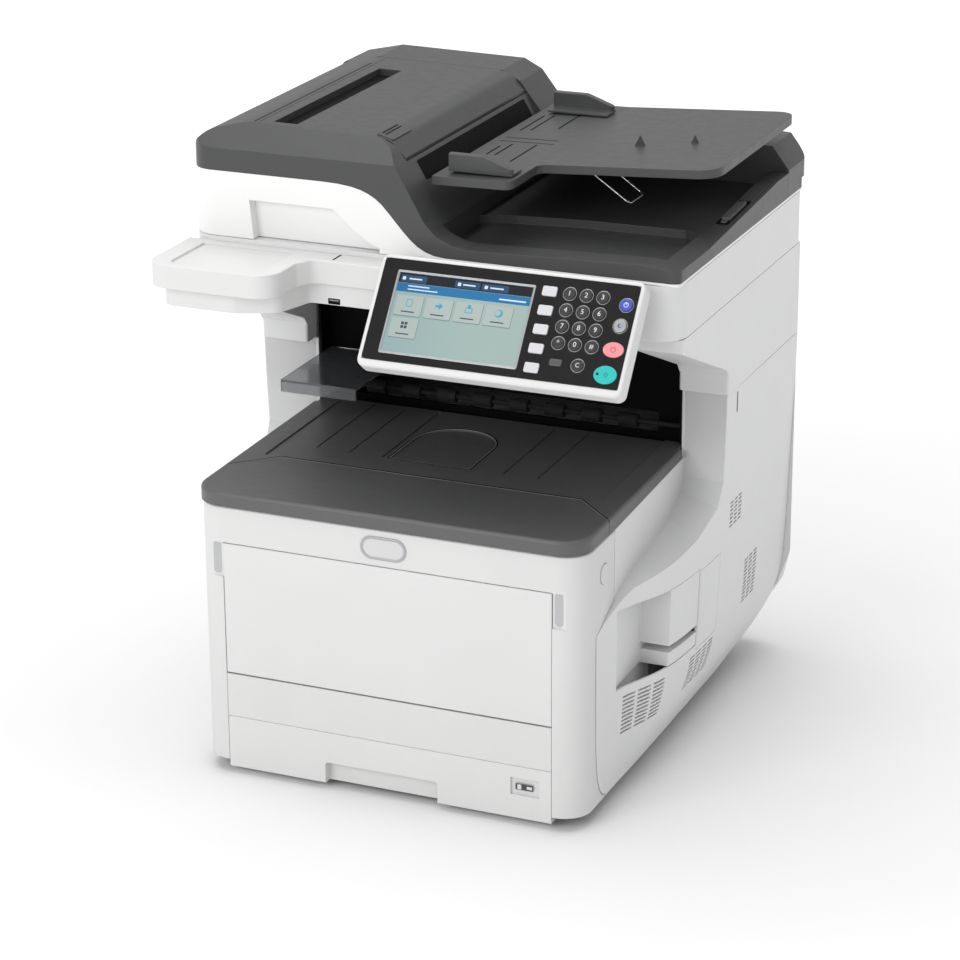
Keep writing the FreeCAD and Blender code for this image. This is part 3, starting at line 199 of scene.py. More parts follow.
def lit(name, colour, other, strength, size=0.05):
    """A part of the picture on the screen, which glows."""
    made, tree, shader = nodes_of(name)
    coords = tree.nodes.new("ShaderNodeTexCoord")
    split = tree.nodes.new("ShaderNodeSeparateXYZ")
    tree.links.new(coords.outputs["Object"], split.inputs["Vector"])
    cells = noise(tree, 0.0004, 1.0)
    sweep = spread(tree, split.outputs["X"], 0.0, 1.0, -size, size)
    add = tree.nodes.new("ShaderNodeMath")
    add.inputs[1].default_value = 0.03
    add.operation = "MULTIPLY_ADD"
    tree.links.new(cells, add.inputs[0])
    tree.links.new(sweep, add.inputs[2])
    picture = blend_colours(tree, add.outputs["Value"], colour, other)
    tree.links.new(blend_colours(tree, add.outputs["Value"], shade(colour, 0.2), shade(other, 0.2)),
                   shader.inputs["Base Color"])
    tree.links.new(picture, shader.inputs["Emission Color"])
    shader.inputs["Emission Strength"].default_value = strength
    tree.links.new(spread(tree, noise(tree, 0.02), 0.12, 0.2), shader.inputs["Roughness"])
    return made


def toner_colours():
    """Cartridge cases: dark, each with a band of its own ink colour along the machine."""
    made, tree, shader = nodes_of("toner_case_plastic")
    relief(tree, shader, 0.0009, 0.00003, 0.0008)
    coords = tree.nodes.new("ShaderNodeTexCoord")
    split = tree.nodes.new("ShaderNodeSeparateXYZ")
    tree.links.new(coords.outputs["Object"], split.inputs["Vector"])
    low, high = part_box("imaging_units")
    ramp = tree.nodes.new("ShaderNodeValToRGB")
    ramp.color_ramp.interpolation = "CONSTANT"
    inks = [(0.02, 0.02, 0.022), (0.0, 0.21, 0.42), (0.42, 0.02, 0.14), (0.5, 0.36, 0.01)]
    steps = ramp.color_ramp.elements
    steps[0].color = (*inks[0], 1)
    steps[1].position, steps[1].color = 0.25, (*inks[1], 1)
    for place, ink in zip((0.5, 0.75), inks[2:]):
        steps.new(place).color = (*ink, 1)
    place = spread(tree, split.outputs["Y"], 0, 1, low.y, high.y)
    tree.links.new(place, ramp.inputs["Fac"])
    mix = tree.nodes.new("ShaderNodeMix")
    mix.data_type = "RGBA"
    mix.inputs["A"].default_value = (0.03, 0.03, 0.032, 1)
    tree.links.new(ramp.outputs["Color"], mix.inputs["B"])
    tree.links.new(spread(tree, split.outputs["Z"], 0, 1, low.z * 0.2 + high.z * 0.8, high.z),
                   mix.inputs["Factor"])
    tree.links.new(mix.outputs["Result"], shader.inputs["Base Color"])
    tree.links.new(spread(tree, noise(tree, 0.02), 0.35, 0.5), shader.inputs["Roughness"])
    return made


WHITE = (0.672, 0.672, 0.668)
SIDE = (0.71, 0.712, 0.714)
# Lighter copy of the white plastic: painted light on the lid's lower shell, which is lit more than the
# door.
LID_WHITE_LIT_COPY = (0.82, 0.82, 0.815)
DARK = (0.047, 0.048, 0.048)
TRAY = (0.1, 0.101, 0.102)
# Darker than any real black: the lining's own black plus painted shade of the open output bay and of the
# slots and seams drawn with it.
BLACK_AND_SHADE = (0.003, 0.003, 0.0032)
SILVER = (0.72, 0.73, 0.75)

FINISH = {
    "frame_steel": metal("galvanised_steel", (0.55, 0.56, 0.57), 0.42, size=0.012),
    "foot_rubber": rubber("foot_rubber", (0.025, 0.025, 0.026)),
    "white_plastic": moulded("white_plastic", WHITE),
    "white_door": moulded("white_door_plastic", shade(WHITE, 1.025), 0.38),
    "side_plastic": moulded("side_plastic", SIDE, 0.45),
    "black_lining": moulded("black_lining", BLACK_AND_SHADE, 0.6, mottle=0.1, edge_wear_and_highlight=0.0, Specular_IOR_Level=0.08),
    "platen_glass": clear("platen_glass", (0.93, 0.97, 0.95), 0.02, 0.92, 1.52),
    "hinge_steel": metal("hinge_steel", (0.6, 0.6, 0.61), 0.3, (30, 1, 1)),
    "toner_case": toner_colours(),
    "belt_film": moulded("belt_film", (0.045, 0.04, 0.036), 0.2, grain=0.004, depth=0.00001, edge_wear_and_highlight=0.0),
    "inner_grey": moulded("inner_grey_plastic", (0.33, 0.34, 0.35), 0.5),
    "dark_cover": moulded("dark_cover_plastic", TRAY, 0.4, 0.0007, 0.00004, edge_wear_and_highlight=0.035),
    "smoked_clear": clear("smoked_clear_plastic", (0.36, 0.37, 0.39), 0.08, 0.8),
    # Roller rubber darker than real rubber: painted shade that sinks the exit rollers into the dark bay.
    "roller_rubber": rubber("roller_rubber", (0.009, 0.009, 0.0095)),
    "switch_black": moulded("switch_black", (0.018, 0.018, 0.018), 0.28, mottle=0.05, edge_wear_and_highlight=0.01),
    "dark_lid": moulded("dark_lid_plastic", DARK, 0.4, 0.0007, 0.00004, edge_wear_and_highlight=0.08),
    "cushion_white": moulded("white_foam_sheet", (0.84, 0.84, 0.83), 0.75, 0.002, 0.0001),
    "dark_tray": moulded("dark_tray_plastic", shade(DARK, 1.12), 0.42, 0.0007, 0.00004, edge_wear_and_highlight=0.08),
    "wire_steel": metal("wire_steel", (0.75, 0.75, 0.76), 0.2),
    "panel_black": moulded("panel_black_gloss", (0.007, 0.007, 0.0075), 0.24, 0.004, 0.000004, edge_wear_and_highlight=0.002,
                           Specular_IOR_Level=0.3),
    "screen_glass": lit("screen_picture", (0.34, 0.52, 0.56), (0.5, 0.66, 0.62), 0.5, 0.08),
    "key_login": moulded("key_login_blue", (0.05, 0.085, 0.46), 0.28, edge_wear_and_highlight=0.02),
    "key_silver": moulded("key_silver", shade(SILVER, 0.6), 0.3, mottle=0.06, Metallic=0.7),
    "key_caps": moulded("key_cap_dark", (0.035, 0.035, 0.037), 0.22, mottle=0.1, edge_wear_and_highlight=0.03),
    "key_stop": moulded("key_stop_pink", (0.78, 0.27, 0.29), 0.34),
    "key_start": moulded("key_start_green", (0.012, 0.47, 0.43), 0.32),
}
LIGHT_KEYS = ("copy_key", "scan_key", "print_key", "fax_key", "reset_key")


def dress_cad_nodes():
    """Every CAD node takes the finish of its slot, but for pale keys and the two lighter whites, one of
    them a lighter copy of the white that paints extra light on the lid's lower shell.
    """
    for part in frame["record"]["subparts"]:
        data = frame["nodes"][part["node"]].data
        data.materials.clear()
        data.materials.append(FINISH[part["material_slot"]])
    overrides = {
        moulded("key_cap_pale", (0.6, 0.585, 0.61), 0.35): LIGHT_KEYS,
        moulded("lid_white_lit_copy", LID_WHITE_LIT_COPY): ("lid_lower_shell",),
        FINISH["side_plastic"]: ("scanner_base", "upper_side_panels"),
    }
    for finish, names in overrides.items():
        for name in names:
            frame["nodes"][name].data.materials[0] = finish


# ---------------------------------------------------------------- building trim

def keep(name, mesh, material, body, place=Matrix.Identity(4)):
    """Makes a piece of a mesh, puts it in place and lets it ride on its CAD body."""
    piece = bpy.data.objects.new(name, mesh)
    bpy.context.scene.collection.objects.link(piece)
    piece.matrix_world = place
    mesh.materials.append(material)
    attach(piece, body)
    return piece


def rounded(wide, tall, radius, middle=(0, 0), steps=6):
    """Outline of a rounded rectangle, in millimetres."""
    points = []
    corners = ((wide / 2 - radius, tall / 2 - radius, 0), (radius - wide / 2, tall / 2 - radius, 90),
               (radius - wide / 2, radius - tall / 2, 180), (wide / 2 - radius, radius - tall / 2, 270))
    for x, y, start in corners:
        for i in range(steps + 1):
            angle = math.radians(start + 90 * i / steps)
            points.append((middle[0] + x + radius * math.cos(angle),
                           middle[1] + y + radius * math.sin(angle)))
    return points


def ellipse(major, minor, middle=(0, 0), steps=40):
    turns = (2 * math.pi * i / steps for i in range(steps))
    return [(middle[0] + major * math.cos(a), middle[1] + minor * math.sin(a)) for a in turns]


def add_prism(shell, outline, low, high, hole=None):
    """Adds a solid plate, or a solid ring when a hole of as many points is given, to a bmesh."""
    rings = [[shell.verts.new(Vector((x, y, z)) * MM) for x, y in loop]
             for loop in ([outline, hole] if hole else [outline]) for z in (low, high)]
    count = len(outline)
    for i in range(count):
        j = (i + 1) % count
        shell.faces.new((rings[0][i], rings[0][j], rings[1][j], rings[1][i]))
        if hole:
            shell.faces.new((rings[2][j], rings[2][i], rings[3][i], rings[3][j]))
            shell.faces.new((rings[1][i], rings[1][j], rings[3][j], rings[3][i]))
            shell.faces.new((rings[0][j], rings[0][i], rings[2][i], rings[2][j]))
    if not hole:
        shell.faces.new(rings[1])
        shell.faces.new(reversed(rings[0]))


def plates(name, shapes, material, body, place=Matrix.Identity(4), soften=0.15):
    """One piece of one or more plates, each (outline, low, high) or (outline, low, high, hole), in mm."""
    shell = bmesh.new()
    for shape in shapes:
        add_prism(shell, *shape)
    mesh = bpy.data.meshes.new(name)
    bmesh.ops.recalc_face_normals(shell, faces=shell.faces)
    shell.to_mesh(mesh)
    shell.free()
    piece = keep(name, mesh, material, body, place)
    if soften:
        edge = piece.modifiers.new("soft_edges", "BEVEL")
        edge.width = soften * MM
        edge.segments = 2
        edge.angle_limit = math.radians(50)
    return piece


def figure(name, text, size, material, body, place):
    """A digit or a sign as a thin raised mesh, centred on its place."""
    letters = bpy.data.curves.new(name + "_outline", "FONT")
    letters.body = text
    letters.size = size * MM
    letters.extrude = 0.05 * MM
    letters.align_x = "CENTER"
    letters.align_y = "CENTER"
    temporary = bpy.data.objects.new(name + "_outline", letters)
    bpy.context.scene.collection.objects.link(temporary)
    bpy.context.view_layer.update()
    mesh = bpy.data.meshes.new_from_object(temporary.evaluated_get(bpy.context.evaluated_depsgraph_get()))
    bpy.data.objects.remove(temporary)
    mesh.materials.clear()
    mesh.name = name
    return keep(name, mesh, material, body, place)


def on_panel(u, v, height=0.0):
    return PANEL @ Matrix.Translation(Vector((u, v, height)) * MM)


# ---------------------------------------------------------------- panel trim

DIGIT_ROWS = (("key_1", "key_2", "key_3"), ("key_4", "key_5", "key_6"), ("key_7", "key_8", "key_9"),
              ("key_star", "key_0", "key_hash"))
DIGIT_COLUMNS_MM = (210, 228.3, 246.5)
DIGIT_ROWS_MM = (96, 78, 60.2, 42.2)
SIGNS = {"key_star": "*", "key_hash": "#"}
CLEAR_KEY, LOGIN_KEY, POWER_SAVE_KEY = (236.3, 20.8), (272.8, 90.8), (271.3, 68)
STOP_KEY, START_SIGN, START_LAMP = (270.2, 41.9), (268.6, 14.5), (259.5, 14.5)
FUNCTION_ROWS_MM = (104.5, 83.6, 62.8, 41.8, 20.9)
SCREEN_MIDDLE, FACE_MIDDLE = (94.5, 54.75), (142, 56.5)
KEY_TOP_MM = 1.8


def panel_trim():
    """Rings, digits and signs of the keys, lamps, the blank label and the frame round the screen."""
    pale = moulded("print_pale", (0.66, 0.64, 0.56), 0.5, edge_wear_and_highlight=0.0)
    white = moulded("print_white", (0.82, 0.83, 0.84), 0.5, edge_wear_and_highlight=0.0)
    silver = moulded("ring_silver", shade(SILVER, 0.62), 0.3, mottle=0.08, Metallic=0.8)
    round_keys = [(name, u, v, 6.2) for v, row in zip(DIGIT_ROWS_MM, DIGIT_ROWS)
                  for name, u in zip(row, DIGIT_COLUMNS_MM)]
    round_keys += [("clear_key", *CLEAR_KEY, 6.2), ("login_key", *LOGIN_KEY, 6.6),
                   ("power_save_key", *POWER_SAVE_KEY, 6.8)]
    plates("key_rings",
           [(ellipse(r + 1.3, r + 1.3, (u, v)), -0.1, 0.5, ellipse(r + 0.6, r + 0.6, (u, v)))
            for _, u, v, r in round_keys], silver, "panel", PANEL)
    for name, u, v, _ in round_keys[:12]:
        figure(name + "_sign", SIGNS.get(name, name[-1]), 7.6, white, name,
               on_panel(u, v, KEY_TOP_MM + 0.02))
    figure("clear_key_sign", "C", 6.6, white, "clear_key",
           on_panel(*CLEAR_KEY, KEY_TOP_MM + 0.02))
    ring = (ellipse(2.7, 2.7), 0, 0.12, ellipse(2.0, 2.0))
    plates("login_key_sign", [ring, (rounded(0.9, 2.6, 0.2, (0, 1.6)), 0.05, 0.2)], white, "login_key",
           on_panel(*LOGIN_KEY, KEY_TOP_MM), 0)
    plates("power_save_sign", [(ellipse(2.4, 2.4), 0, 0.12, ellipse(1.8, 1.8, (0.9, 0.3)))], BLUE_INK,
           "power_save_key", on_panel(*POWER_SAVE_KEY, KEY_TOP_MM), 0)
    plates("stop_key_sign", [(ellipse(3.0, 3.0), 0, 0.12, ellipse(2.3, 2.3))], RED_INK,
           "stop_key", on_panel(*STOP_KEY, KEY_TOP_MM), 0)
    diamond = [(2.6, 0), (0, 2.6), (-2.6, 0), (0, -2.6)]
    inner = [(x * 0.62, y * 0.62) for x, y in diamond]
    plates("start_key_sign", [(diamond, 0, 0.12, inner)], DEEP_GREEN, "start_key",
           on_panel(*START_SIGN, KEY_TOP_MM), 0)
    plates("start_key_lamp", [(ellipse(1.5, 1.5), 0, 0.3)], FINISH["switch_black"],
           "start_key", on_panel(*START_LAMP, KEY_TOP_MM), 0.1)
    lamps = [(ellipse(1.0, 1.0, (182.5, v)), 0, 0.3) for v in FUNCTION_ROWS_MM]
    bars = [(rounded(8, 1.3, 0.4, (189, v)), 0, 0.08) for v in FUNCTION_ROWS_MM]
    bars += [(rounded(9, 1.2, 0.4, (u, v)), 0, 0.08)
             for u, v in ((271, 78.2), (270, 51.8), (266, 27.4), (212, 28.4), (236, 29.6), (212, 13.4))]
    plates("panel_lamps", lamps, pale, "panel", PANEL, 0.1)
    plates("panel_marks", bars, pale, "panel", PANEL, 0)
    plates("panel_label", [(rounded(14, 4.6, 0.8, (272.6, 102.6)), 0, 0.25)],
           moulded("label_yellow", (0.66, 0.53, 0.2), 0.45), "panel", PANEL, 0.1)
    plates("memory_lamp", [(rounded(13.5, 7.4, 2.4, (212, 21.2)), -0.1, 0.9)],
           moulded("lamp_smoked", (0.09, 0.088, 0.09), 0.16, edge_wear_and_highlight=0.05),
           "panel", PANEL, 0.35)
    plates("screen_frame", [(rounded(155, 92.5, 2, SCREEN_MIDDLE), -0.1, 0.7,
                             rounded(150.4, 88, 0.8, SCREEN_MIDDLE))],
           silver, "panel", PANEL, 0.25)
    plates("face_border", [(rounded(283, 112, 3.5, FACE_MIDDLE), -0.1, 0.35,
                            rounded(281, 110, 3, FACE_MIDDLE))],
           FINISH["switch_black"], "panel", PANEL, 0.15)


def screen_picture():
    """A generic menu: dark bar with three tabs, blue heading, five tiles with plain signs."""
    glass = -0.4
    dark = lit("screen_dark", (0.006, 0.008, 0.012), (0.01, 0.012, 0.02), 0.4)
    tab = lit("screen_tab", (0.02, 0.07, 0.16), (0.03, 0.1, 0.22), 0.5)
    heading = lit("screen_heading", (0.02, 0.09, 0.28), (0.02, 0.22, 0.5), 0.6, 0.08)
    tile = lit("screen_tile", (0.5, 0.62, 0.6), (0.6, 0.7, 0.66), 0.5, 0.08)
    under = lit("screen_tile_edge", (0.2, 0.32, 0.34), (0.28, 0.4, 0.4), 0.4)
    text = lit("screen_light_marks", (0.6, 0.75, 0.9), (0.8, 0.9, 1.0), 0.7)
    blue = lit("screen_blue_signs", (0.02, 0.3, 0.55), (0.05, 0.45, 0.7), 0.6)
    ink = lit("screen_ink", (0.05, 0.1, 0.14), (0.08, 0.14, 0.18), 0.3)

    def layer(name, shapes, material, level):
        low = glass + level * 0.06
        flat = [(outline, low, low + 0.06, *hole) for outline, *hole in shapes]
        plates(name, flat, material, "panel", PANEL, 0)

    layer("screen_bar", [(rounded(149.8, 11, 0.2, (94.5, 93.2)),)], dark, 0.2)
    tabs = ((36.5, 29), (97, 28), (128, 30))
    layer("screen_tabs", [(rounded(wide, 7.6, 1, (u, 92.6)),) for u, wide in tabs], tab, 1)
    layer("screen_heading", [(rounded(149.8, 9.6, 0.2, (94.5, 82.6)),)], heading, 0.2)
    marks = [(rounded(wide * 0.5, 1.5, 0.4, (u + 2, 92.6)),) for u, wide in tabs]
    marks += [(rounded(24, 1.3, 0.4, (44, 84.6)),), (rounded(34, 1.2, 0.4, (49, 81)),),
              (rounded(30, 1.6, 0.4, (150, 81.6)),), (rounded(3.6, 3.6, 0.8, (25.5, 92.6)),),
              (rounded(3.6, 3.6, 0.8, (88, 92.6)),), (rounded(3.6, 3.6, 0.8, (118, 92.6)),)]
    layer("screen_marks", marks, text, 2)
    places = [(38 + 33.5 * i, 63) for i in range(4)] + [(38, 38.5)]
    layer("screen_tile_edges", [(rounded(30.6, 22.6, 1.4, (u + 0.3, v - 0.6)),) for u, v in places],
          under, 0.2)
    layer("screen_tiles", [(rounded(30, 22, 1.2, place),) for place in places], tile, 1)
    layer("screen_tile_marks", [(rounded(15, 1.3, 0.4, (u, v - 6.8)),) for u, v in places], ink, 2)
    first, second, third, fourth, fifth = places
    page = (rounded(7, 8, 0.8, (first[0], first[1] + 3)), rounded(5.6, 6.6, 0.5, (first[0], first[1] + 3)))
    arrow = [(second[0] + x, second[1] + 3 + y) for x, y in
             ((-4, -1.2), (0, -1.2), (0, -4), (4.6, 0), (0, 4), (0, 1.2), (-4, 1.2))]
    bin_sign = (rounded(8, 6, 0.8, (third[0], third[1] + 2.4)),
                rounded(6.4, 4.4, 0.5, (third[0], third[1] + 2.4)))
    handle = (rounded(3, 4.4, 0.4, (third[0], third[1] + 6.4)),)
    ring = (ellipse(4.4, 4.4, (fourth[0], fourth[1] + 3)),
            ellipse(3.2, 3.2, (fourth[0] - 1, fourth[1] + 3.4)))
    layer("screen_signs", [page, (arrow,), bin_sign, ring, handle], blue, 2)
    grid = [(rounded(3.1, 3.1, 0.4, (fifth[0] + x, fifth[1] + 3 + y)),) for x in (-2, 2) for y in (-2, 2)]
    layer("screen_grid_sign", grid, ink, 2)


# ---------------------------------------------------------------- outside trim

def front_trim():
    """Blank badge over the door, shades of the door's finger recesses, and the paper-size window."""
    y = (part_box("front_door")[0].y - ENGINE_ORIGIN.y) / MM
    badge = facing(engine(224, y, 293.5), (0, -1, 0))
    plates("badge_rim", [(rounded(53, 26, 12.9), -0.4, 1.2, rounded(47, 20, 9.9))],
           moulded("badge_rim_satin", (0.4, 0.41, 0.42), 0.3, Metallic=0.6),
           "root", badge, 0.4)
    plates("badge_plate", [(rounded(47.4, 20.4, 10.1), -0.4, 0.6)],
           moulded("badge_plate_pearl", (0.62, 0.62, 0.625), 0.3), "root", badge, 0.2)
    shadow = moulded("recess_shadow_grey", (0.46, 0.465, 0.47), 0.5)
    for side, x in (("left", 26), ("right", 422)):
        place, normal = surface("front_cover", engine(x, -60, 254), (0, 1, 0))
        plates(f"finger_{side}", [(rounded(9.6, 37, 4.6), -0.6, 0.15)],
               shadow, "root", facing(place, normal), 0.1)
    window = facing(engine(384.5, y + 1.2, 45), (0, -1, 0))
    plates("size_window_pane", [(rounded(20, 7, 1, (-1, 0)), -0.4, 0.6)],
           moulded("size_window_dark", (0.05, 0.052, 0.055), 0.2), "cassette", window, 0.2)
    plates("size_window_card", [(rounded(6, 3.4, 0.4, (5, 0)), 0.5, 0.8),
                                (rounded(4.5, 5.6, 0.4, (-6.5, 0)), 0.5, 0.8)],
           FINISH["white_plastic"], "cassette", window, 0.1)


ARCH_WIDE, ARCH_STRAIGHT = 96, 67


def arch(grow):
    """Outline of the output tray's arched recess, `grow` outside its edge, from the recess's front left."""
    half = ARCH_WIDE / 2
    turns = [math.pi * i / 24 for i in range(25)]
    bend = [((half + grow) * math.cos(a), ARCH_STRAIGHT + (half + grow) * math.sin(a)) for a in turns]
    return [(-half - grow, -grow), (half + grow, -grow)] + bend


def cover_trim():
    """Seam across the output cover and the outlined recess, each a painted shadow line with a painted
    highlight lip beside it.
    """
    black = FINISH["black_lining"]
    # Lighter copy of the cover's plastic: painted highlight on the rounded near edges.
    painted_highlight = moulded("cover_painted_highlight", shade(TRAY, 2.4), 0.35)

    def seam(front, rear, low, high):
        near = [(-222, front - 43), (-177.5, front), (177.5, front), (222, front - 43)]
        far = [(222, rear - 43), (177.5, rear), (-177.5, rear), (-222, rear - 43)]
        return near + far, low, high

    place, normal = surface("top_cover", engine(224.5, 116, 400), (0, 0, -1))
    rise = facing(place, normal, (0, 1, 0))
    # Black strip: painted shadow of the seam's groove; the lighter strip in front of it is a painted
    # highlight.
    plates("cover_seam_shadow", [seam(1.4, 3.6, -0.6, 0.1)], black, "top_cover", rise, 0)
    plates("cover_seam_highlight", [seam(0.3, 1.4, -0.6, 0.12)], painted_highlight, "top_cover", rise, 0)
    place, normal = surface("top_cover", engine(130, 161, 400), (0, 0, -1))
    pan = facing(place + Vector((0.076, 0, 0)), normal, (0, 1, 0))
    # Black ring: painted shadow along the recess's edge; the lighter ring inside it is a painted highlight.
    plates("arch_shadow_line", [(arch(1.9), -0.8, 0.1, arch(0.3))], black, "top_cover", pan, 0)
    plates("arch_highlight", [(arch(0.3), -0.8, 0.14, arch(-0.7))], painted_highlight, "top_cover", pan, 0)


def rear_trim():
    """Power inlet, data sockets, louvres of the fan and screw heads on the rear cover."""
    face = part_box("rear_cover")[1].y
    black = FINISH["switch_black"]
    steel = metal("screw_steel", (0.5, 0.5, 0.51), 0.28)
    flat = ENGINE_ORIGIN.y + 575 * MM
    inlet = facing(Vector((engine(345, 0, 0).x, flat, 0.106)), (0, 1, 0))
    plates("power_inlet", [(rounded(50, 30, 4), -1, 2.2, rounded(27, 19, 3)),
                           (rounded(27, 19, 3), -1, 0.4)],
           black, "root", inlet, 0.4)
    blades = ((-7, 1), (7, 1), (0, -3.5))
    plates("inlet_blades", [(rounded(2, 6, 0.3, place), 0.3, 1.8) for place in blades],
           steel, "root", inlet, 0.2)
    sockets = facing(Vector((engine(78, 0, 0).x, flat, 0.112)), (0, 1, 0))
    plates("socket_plate", [(rounded(66, 30, 3), -1, 1)], FINISH["frame_steel"],
           "root", sockets, 0.3)
    plates("data_sockets", [(rounded(16, 13.5, 0.6, (-18, 0)), 0.8, 2.0, rounded(12.6, 9.4, 0.5, (-18, 0))),
                            (rounded(12.6, 11.4, 0.6, (5, 0)), 0.8, 2.0, rounded(8.6, 7.6, 0.5, (5, 0))),
                            (rounded(13, 6, 0.6, (22, 0)), 0.8, 2.0, rounded(11, 4, 0.4, (22, 0)))],
           steel, "root", sockets, 0.15)
    plates("socket_wells", [(rounded(13, 10, 0.5, (-18, 0)), 0.7, 1.1),
                            (rounded(9, 8, 0.5, (5, 0)), 0.7, 1.1),
                            (rounded(11.4, 4.4, 0.4, (22, 0)), 0.7, 1.1)],
           black, "root", sockets, 0)
    fan = facing(Vector((engine(300, 0, 0).x, face, 0.315)), (0, 1, 0))
    # The louvres are flat black strips: painted shade in the openings of the fan grille.
    louvres = [(rounded(96, 3.2, 1.5, (0, 7.2 * i - 36)), -0.6, 0.25) for i in range(11)]
    plates("fan_louvres", louvres, FINISH["black_lining"], "root", fan, 0.2)
    spots = [(x, 575, z) for x in (0, 224.5, 449) for z in (60, 500)] + [(-14, 575, 280), (463, 575, 280)]
    spots += [(x, 596, z) for x in (80, 369) for z in (214, 416)]
    # Black cross on each screw head: painted shade of its recess.
    cross = [(rounded(4.2, 0.9, 0.2), 0.9, 1.25), (rounded(0.9, 4.2, 0.2), 0.9, 1.25)]
    for number, (x, y, z) in enumerate(spots, start=1):
        start = engine(x, y + 30, z)
        place, normal = surface("rear_cover", start, (0, -1, 0))
        seat = facing(place, normal)
        plates(f"screw_{number}", [(ellipse(3.4, 3.4, steps=24), -0.5, 1.0)], steel,
               "root", seat, 0.5)
        plates(f"screw_cross_{number}", cross, black, "root", seat, 0)


def side_trim():
    """A slot in the right side, and the slot and USB socket of the ledge beside the panel."""
    # The black plates below are painted shade in the openings of the slots and the USB socket.
    dark = FINISH["black_lining"]
    place, normal = surface("right_side_shell", engine(540, 322, 391), (-1, 0, 0))
    seat = facing(place, normal)
    plates("side_slot", [(rounded(2.2, 24, 1), -1, 0.2)], dark, "root", seat, 0.1)
    place, normal = surface("left_shelf", engine(125.7, 108, 600), (0, 0, -1))
    seat = facing(place, normal, (0, 1, 0))
    plates("ledge_slot", [(rounded(2.4, 21, 1.1), -1, 0.15)], dark, "root", seat, 0.1)
    place, normal = surface("left_shelf", engine(126, 40, 526), (0, 1, 0))
    seat = facing(place, normal)
    plates("usb_well", [(rounded(14, 6.4, 0.6), -1, 0.15)], dark, "root", seat, 0)
    plates("usb_tongue", [(rounded(10.8, 1.2, 0.3, (0, 1.2)), 0, 0.3)], FINISH["inner_grey"], "root",
           seat, 0.1)


TABLE_SLOTS = [(228, 408, 74), (239, 412, 74), (266, 428, 74), (234, 280, 38), (244, 285, 50),
               (271, 276, 78)]          # middle and length of each slot in the sheet table


def lid_trim():
    """Trim of the feeder cover, sheet table and lid top, with the folding stop in the right rim."""
    place, normal = surface("feeder_cover", engine(163, 178, 760), (0, 0, -1))
    catch = facing(place, normal, (0, 1, 0))
    # The black plates below are painted shade in grooves, gaps, slots and openings.
    dark = FINISH["black_lining"]
    plates("feeder_catch", [(rounded(20, 48, 2.5), -2.5, 1.2)], FINISH["dark_lid"],
           "feeder_cover", catch, 0.5)
    plates("catch_grooves", [(rounded(1.6, 40, 0.7, (x, 1)), 1.1, 1.32) for x in (-6, -2)], dark,
           "feeder_cover", catch, 0)
    # Black plate at the feeder slot's floor: painted shade deep in the slot.
    floor_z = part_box("feeder_cover")[1].z / MM - 8
    slot = Matrix.Translation(engine(44, 294, floor_z))
    plates("feeder_slot_shade", [(rounded(28, 270, 0.5), -0.4, 0.3)], dark, "feeder_cover",
           slot, 0)
    place, normal = surface("lid_top_cover", engine(10.5, 300, 760), (0, 0, -1))
    plates("feeder_hinge_line", [(rounded(1.5, 300, 0.7), -0.6, 0.1)], dark, "lid",
           facing(place, normal, (0, 1, 0)), 0)
    place, normal = surface("document_tray", engine(280, 330, 760), (0, 0, -1))
    table = facing(place, normal, (0, 1, 0))
    slots = [(rounded(2.2, long, 1, (x - 280, y - 330)), -0.6, 0.12) for x, y, long in TABLE_SLOTS]
    slots += [(rounded(64, 1.6, 0.7, (-24, y - 330)), -0.6, 0.12) for y in (322, 338)]
    plates("table_slots", slots, dark, "document_tray", table, 0)
    place, normal = surface("lid_top_cover", engine(197.5, 320, 760), (0, 0, -1))
    plates("feeder_mouth", [(rounded(23, 300, 2), -0.5, 0.35)], dark, "lid",
           facing(place, normal, (0, 1, 0)), 0)
    place, normal = surface("lid_top_cover", engine(493, 331, 690), (0, 0, -1))
    stop = facing(place, normal, (0, 1, 0))
    # Black well round the folding stop: painted shade in the gap between stop and rim.
    plates("stop_well", [(rounded(14, 82, 3), -2, 0.3)], dark, "lid", stop, 0)
    # The stop is a lighter copy of the lid's dark plastic: painted highlight.
    plates("folding_stop", [(rounded(10, 56, 2), -1, 3.4), (rounded(6, 74, 2), -1, 1.6)],
           moulded("folding_stop_highlighted", shade(DARK, 1.8), 0.4), "lid", stop, 0.6)


# ---------------------------------------------------------------- stage, light and camera

def floor():
    """A plain pale floor, large enough to fill the view behind the machine."""
    mesh = bpy.data.meshes.new("floor")
    half = 14.0
    mesh.from_pydata([(-half, -half, 0), (half, -half, 0), (half, half, 0), (-half, half, 0)], [],
                     [(0, 1, 2, 3)])
    ground = bpy.data.objects.new("floor", mesh)
    bpy.context.scene.collection.objects.link(ground)
    made, tree, shader = nodes_of("studio_floor")
    mottle = spread(tree, noise(tree, 0.8), 0, 1)
    tree.links.new(blend_colours(tree, mottle, (0.85, 0.85, 0.85), (0.88, 0.88, 0.88)),
                   shader.inputs["Base Color"])
    shader.inputs["Roughness"].default_value = 0.9
    shader.inputs["Emission Color"].default_value = (1, 1, 1, 1)
    distance = tree.nodes.new("ShaderNodeVectorMath")
    distance.operation = "LENGTH"
    coords = tree.nodes.new("ShaderNodeTexCoord")
    tree.links.new(coords.outputs["Object"], distance.inputs[0])
    tree.links.new(spread(tree, distance.outputs["Value"], 0.0, 0.5, 0.62, 3.0),
                   shader.inputs["Emission Strength"])
    mesh.materials.append(made)


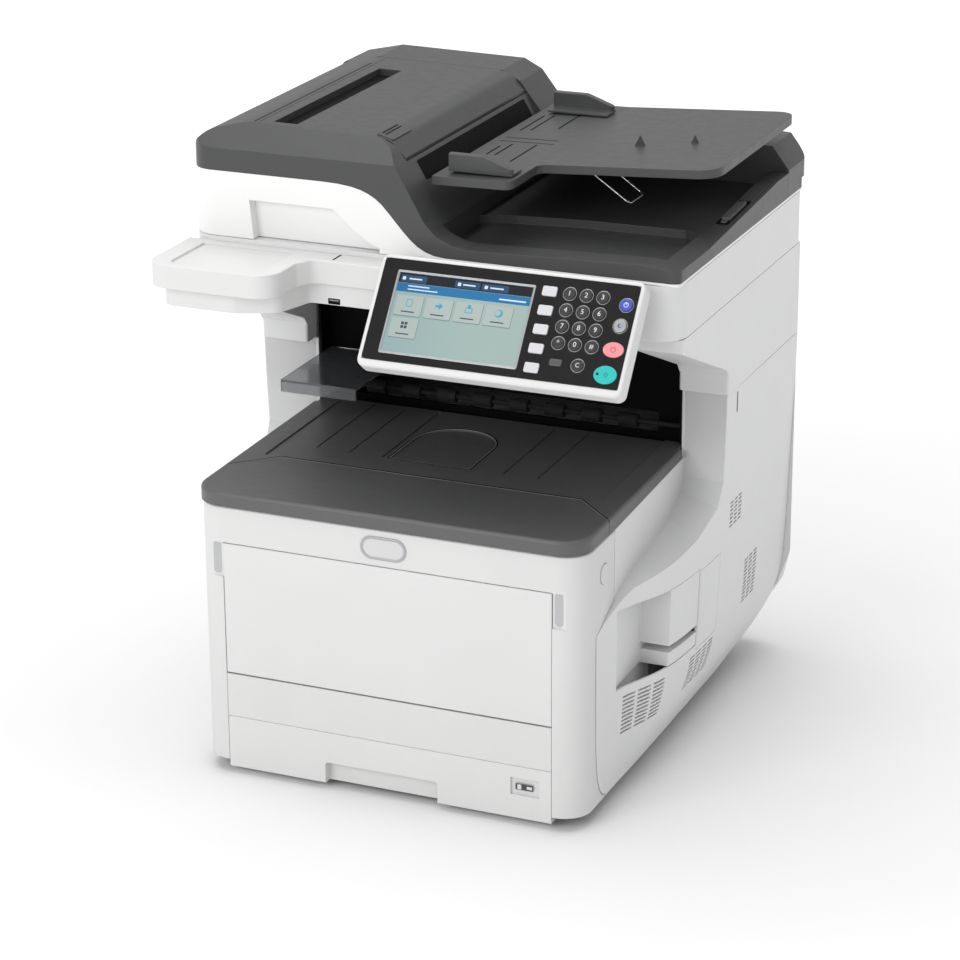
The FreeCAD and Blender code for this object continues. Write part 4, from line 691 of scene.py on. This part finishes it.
def softbox(name, place, target, size, power):
    lamp = bpy.data.lights.new(name, "AREA")
    lamp.shape = "RECTANGLE"
    lamp.size, lamp.size_y = size
    lamp.energy = power
    item = bpy.data.objects.new(name, lamp)
    item.location = place
    item.rotation_euler = (Vector(target) - Vector(place)).to_track_quat("-Z", "Y").to_euler()
    bpy.context.scene.collection.objects.link(item)


def studio():
    """Bright even surroundings, one large softbox overhead and a weaker one from the front left."""
    world = bpy.data.worlds.new("studio")
    bpy.context.scene.world = world
    world.use_nodes = True
    world.node_tree.nodes["Background"].inputs["Color"].default_value = (1, 1, 1, 1)
    world.node_tree.nodes["Background"].inputs["Strength"].default_value = 0.64
    softbox("overhead", (-0.2, 0.3, 3.0), (0, 0, 0.3), (3.0, 2.4), 50)
    softbox("front", (-0.8, -2.9, 1.75), (0, -0.15, 0.4), (1.8, 1.3), 34)
    bpy.context.scene.view_settings.view_transform = "Standard"


CAMERA_ANGLES = (23.04, 20.39, -0.34)         # azimuth, elevation and roll, in degrees
CAMERA_PLACE, CAMERA_BACK = (1.2621, -3.0038, 1.4802), 0.0982
CAMERA_SENSOR, CAMERA_LENS = 36.0, 118.1


def camera():
    """Looks down on the front right corner, close to the view in the photograph."""
    azimuth, elevation, roll = (math.radians(angle) for angle in CAMERA_ANGLES)
    ahead = Vector((-math.sin(azimuth) * math.cos(elevation), math.cos(azimuth) * math.cos(elevation),
                    -math.sin(elevation)))
    lens = bpy.data.cameras.new("camera")
    lens.sensor_width = CAMERA_SENSOR
    lens.lens = CAMERA_LENS
    lens.clip_start, lens.clip_end = 0.05, 60.0
    item = bpy.data.objects.new("camera", lens)
    item.location = Vector(CAMERA_PLACE) - ahead * CAMERA_BACK
    item.rotation_euler = (ahead.to_track_quat("-Z", "Y").to_matrix()
                           @ Matrix.Rotation(roll, 3, "Z")).to_euler()
    bpy.context.scene.collection.objects.link(item)
    bpy.context.scene.camera = item


BLUE_INK = moulded("ink_blue", (0.03, 0.06, 0.3), 0.4, edge_wear_and_highlight=0.0)
RED_INK = moulded("ink_red", (0.6, 0.06, 0.08), 0.4, edge_wear_and_highlight=0.0)
DEEP_GREEN = moulded("ink_green", (0.005, 0.25, 0.24), 0.4, edge_wear_and_highlight=0.0)

camera()
studio()
floor()
dress_cad_nodes()
panel_trim()
screen_picture()
front_trim()
cover_trim()
rear_trim()
side_trim()
lid_trim()
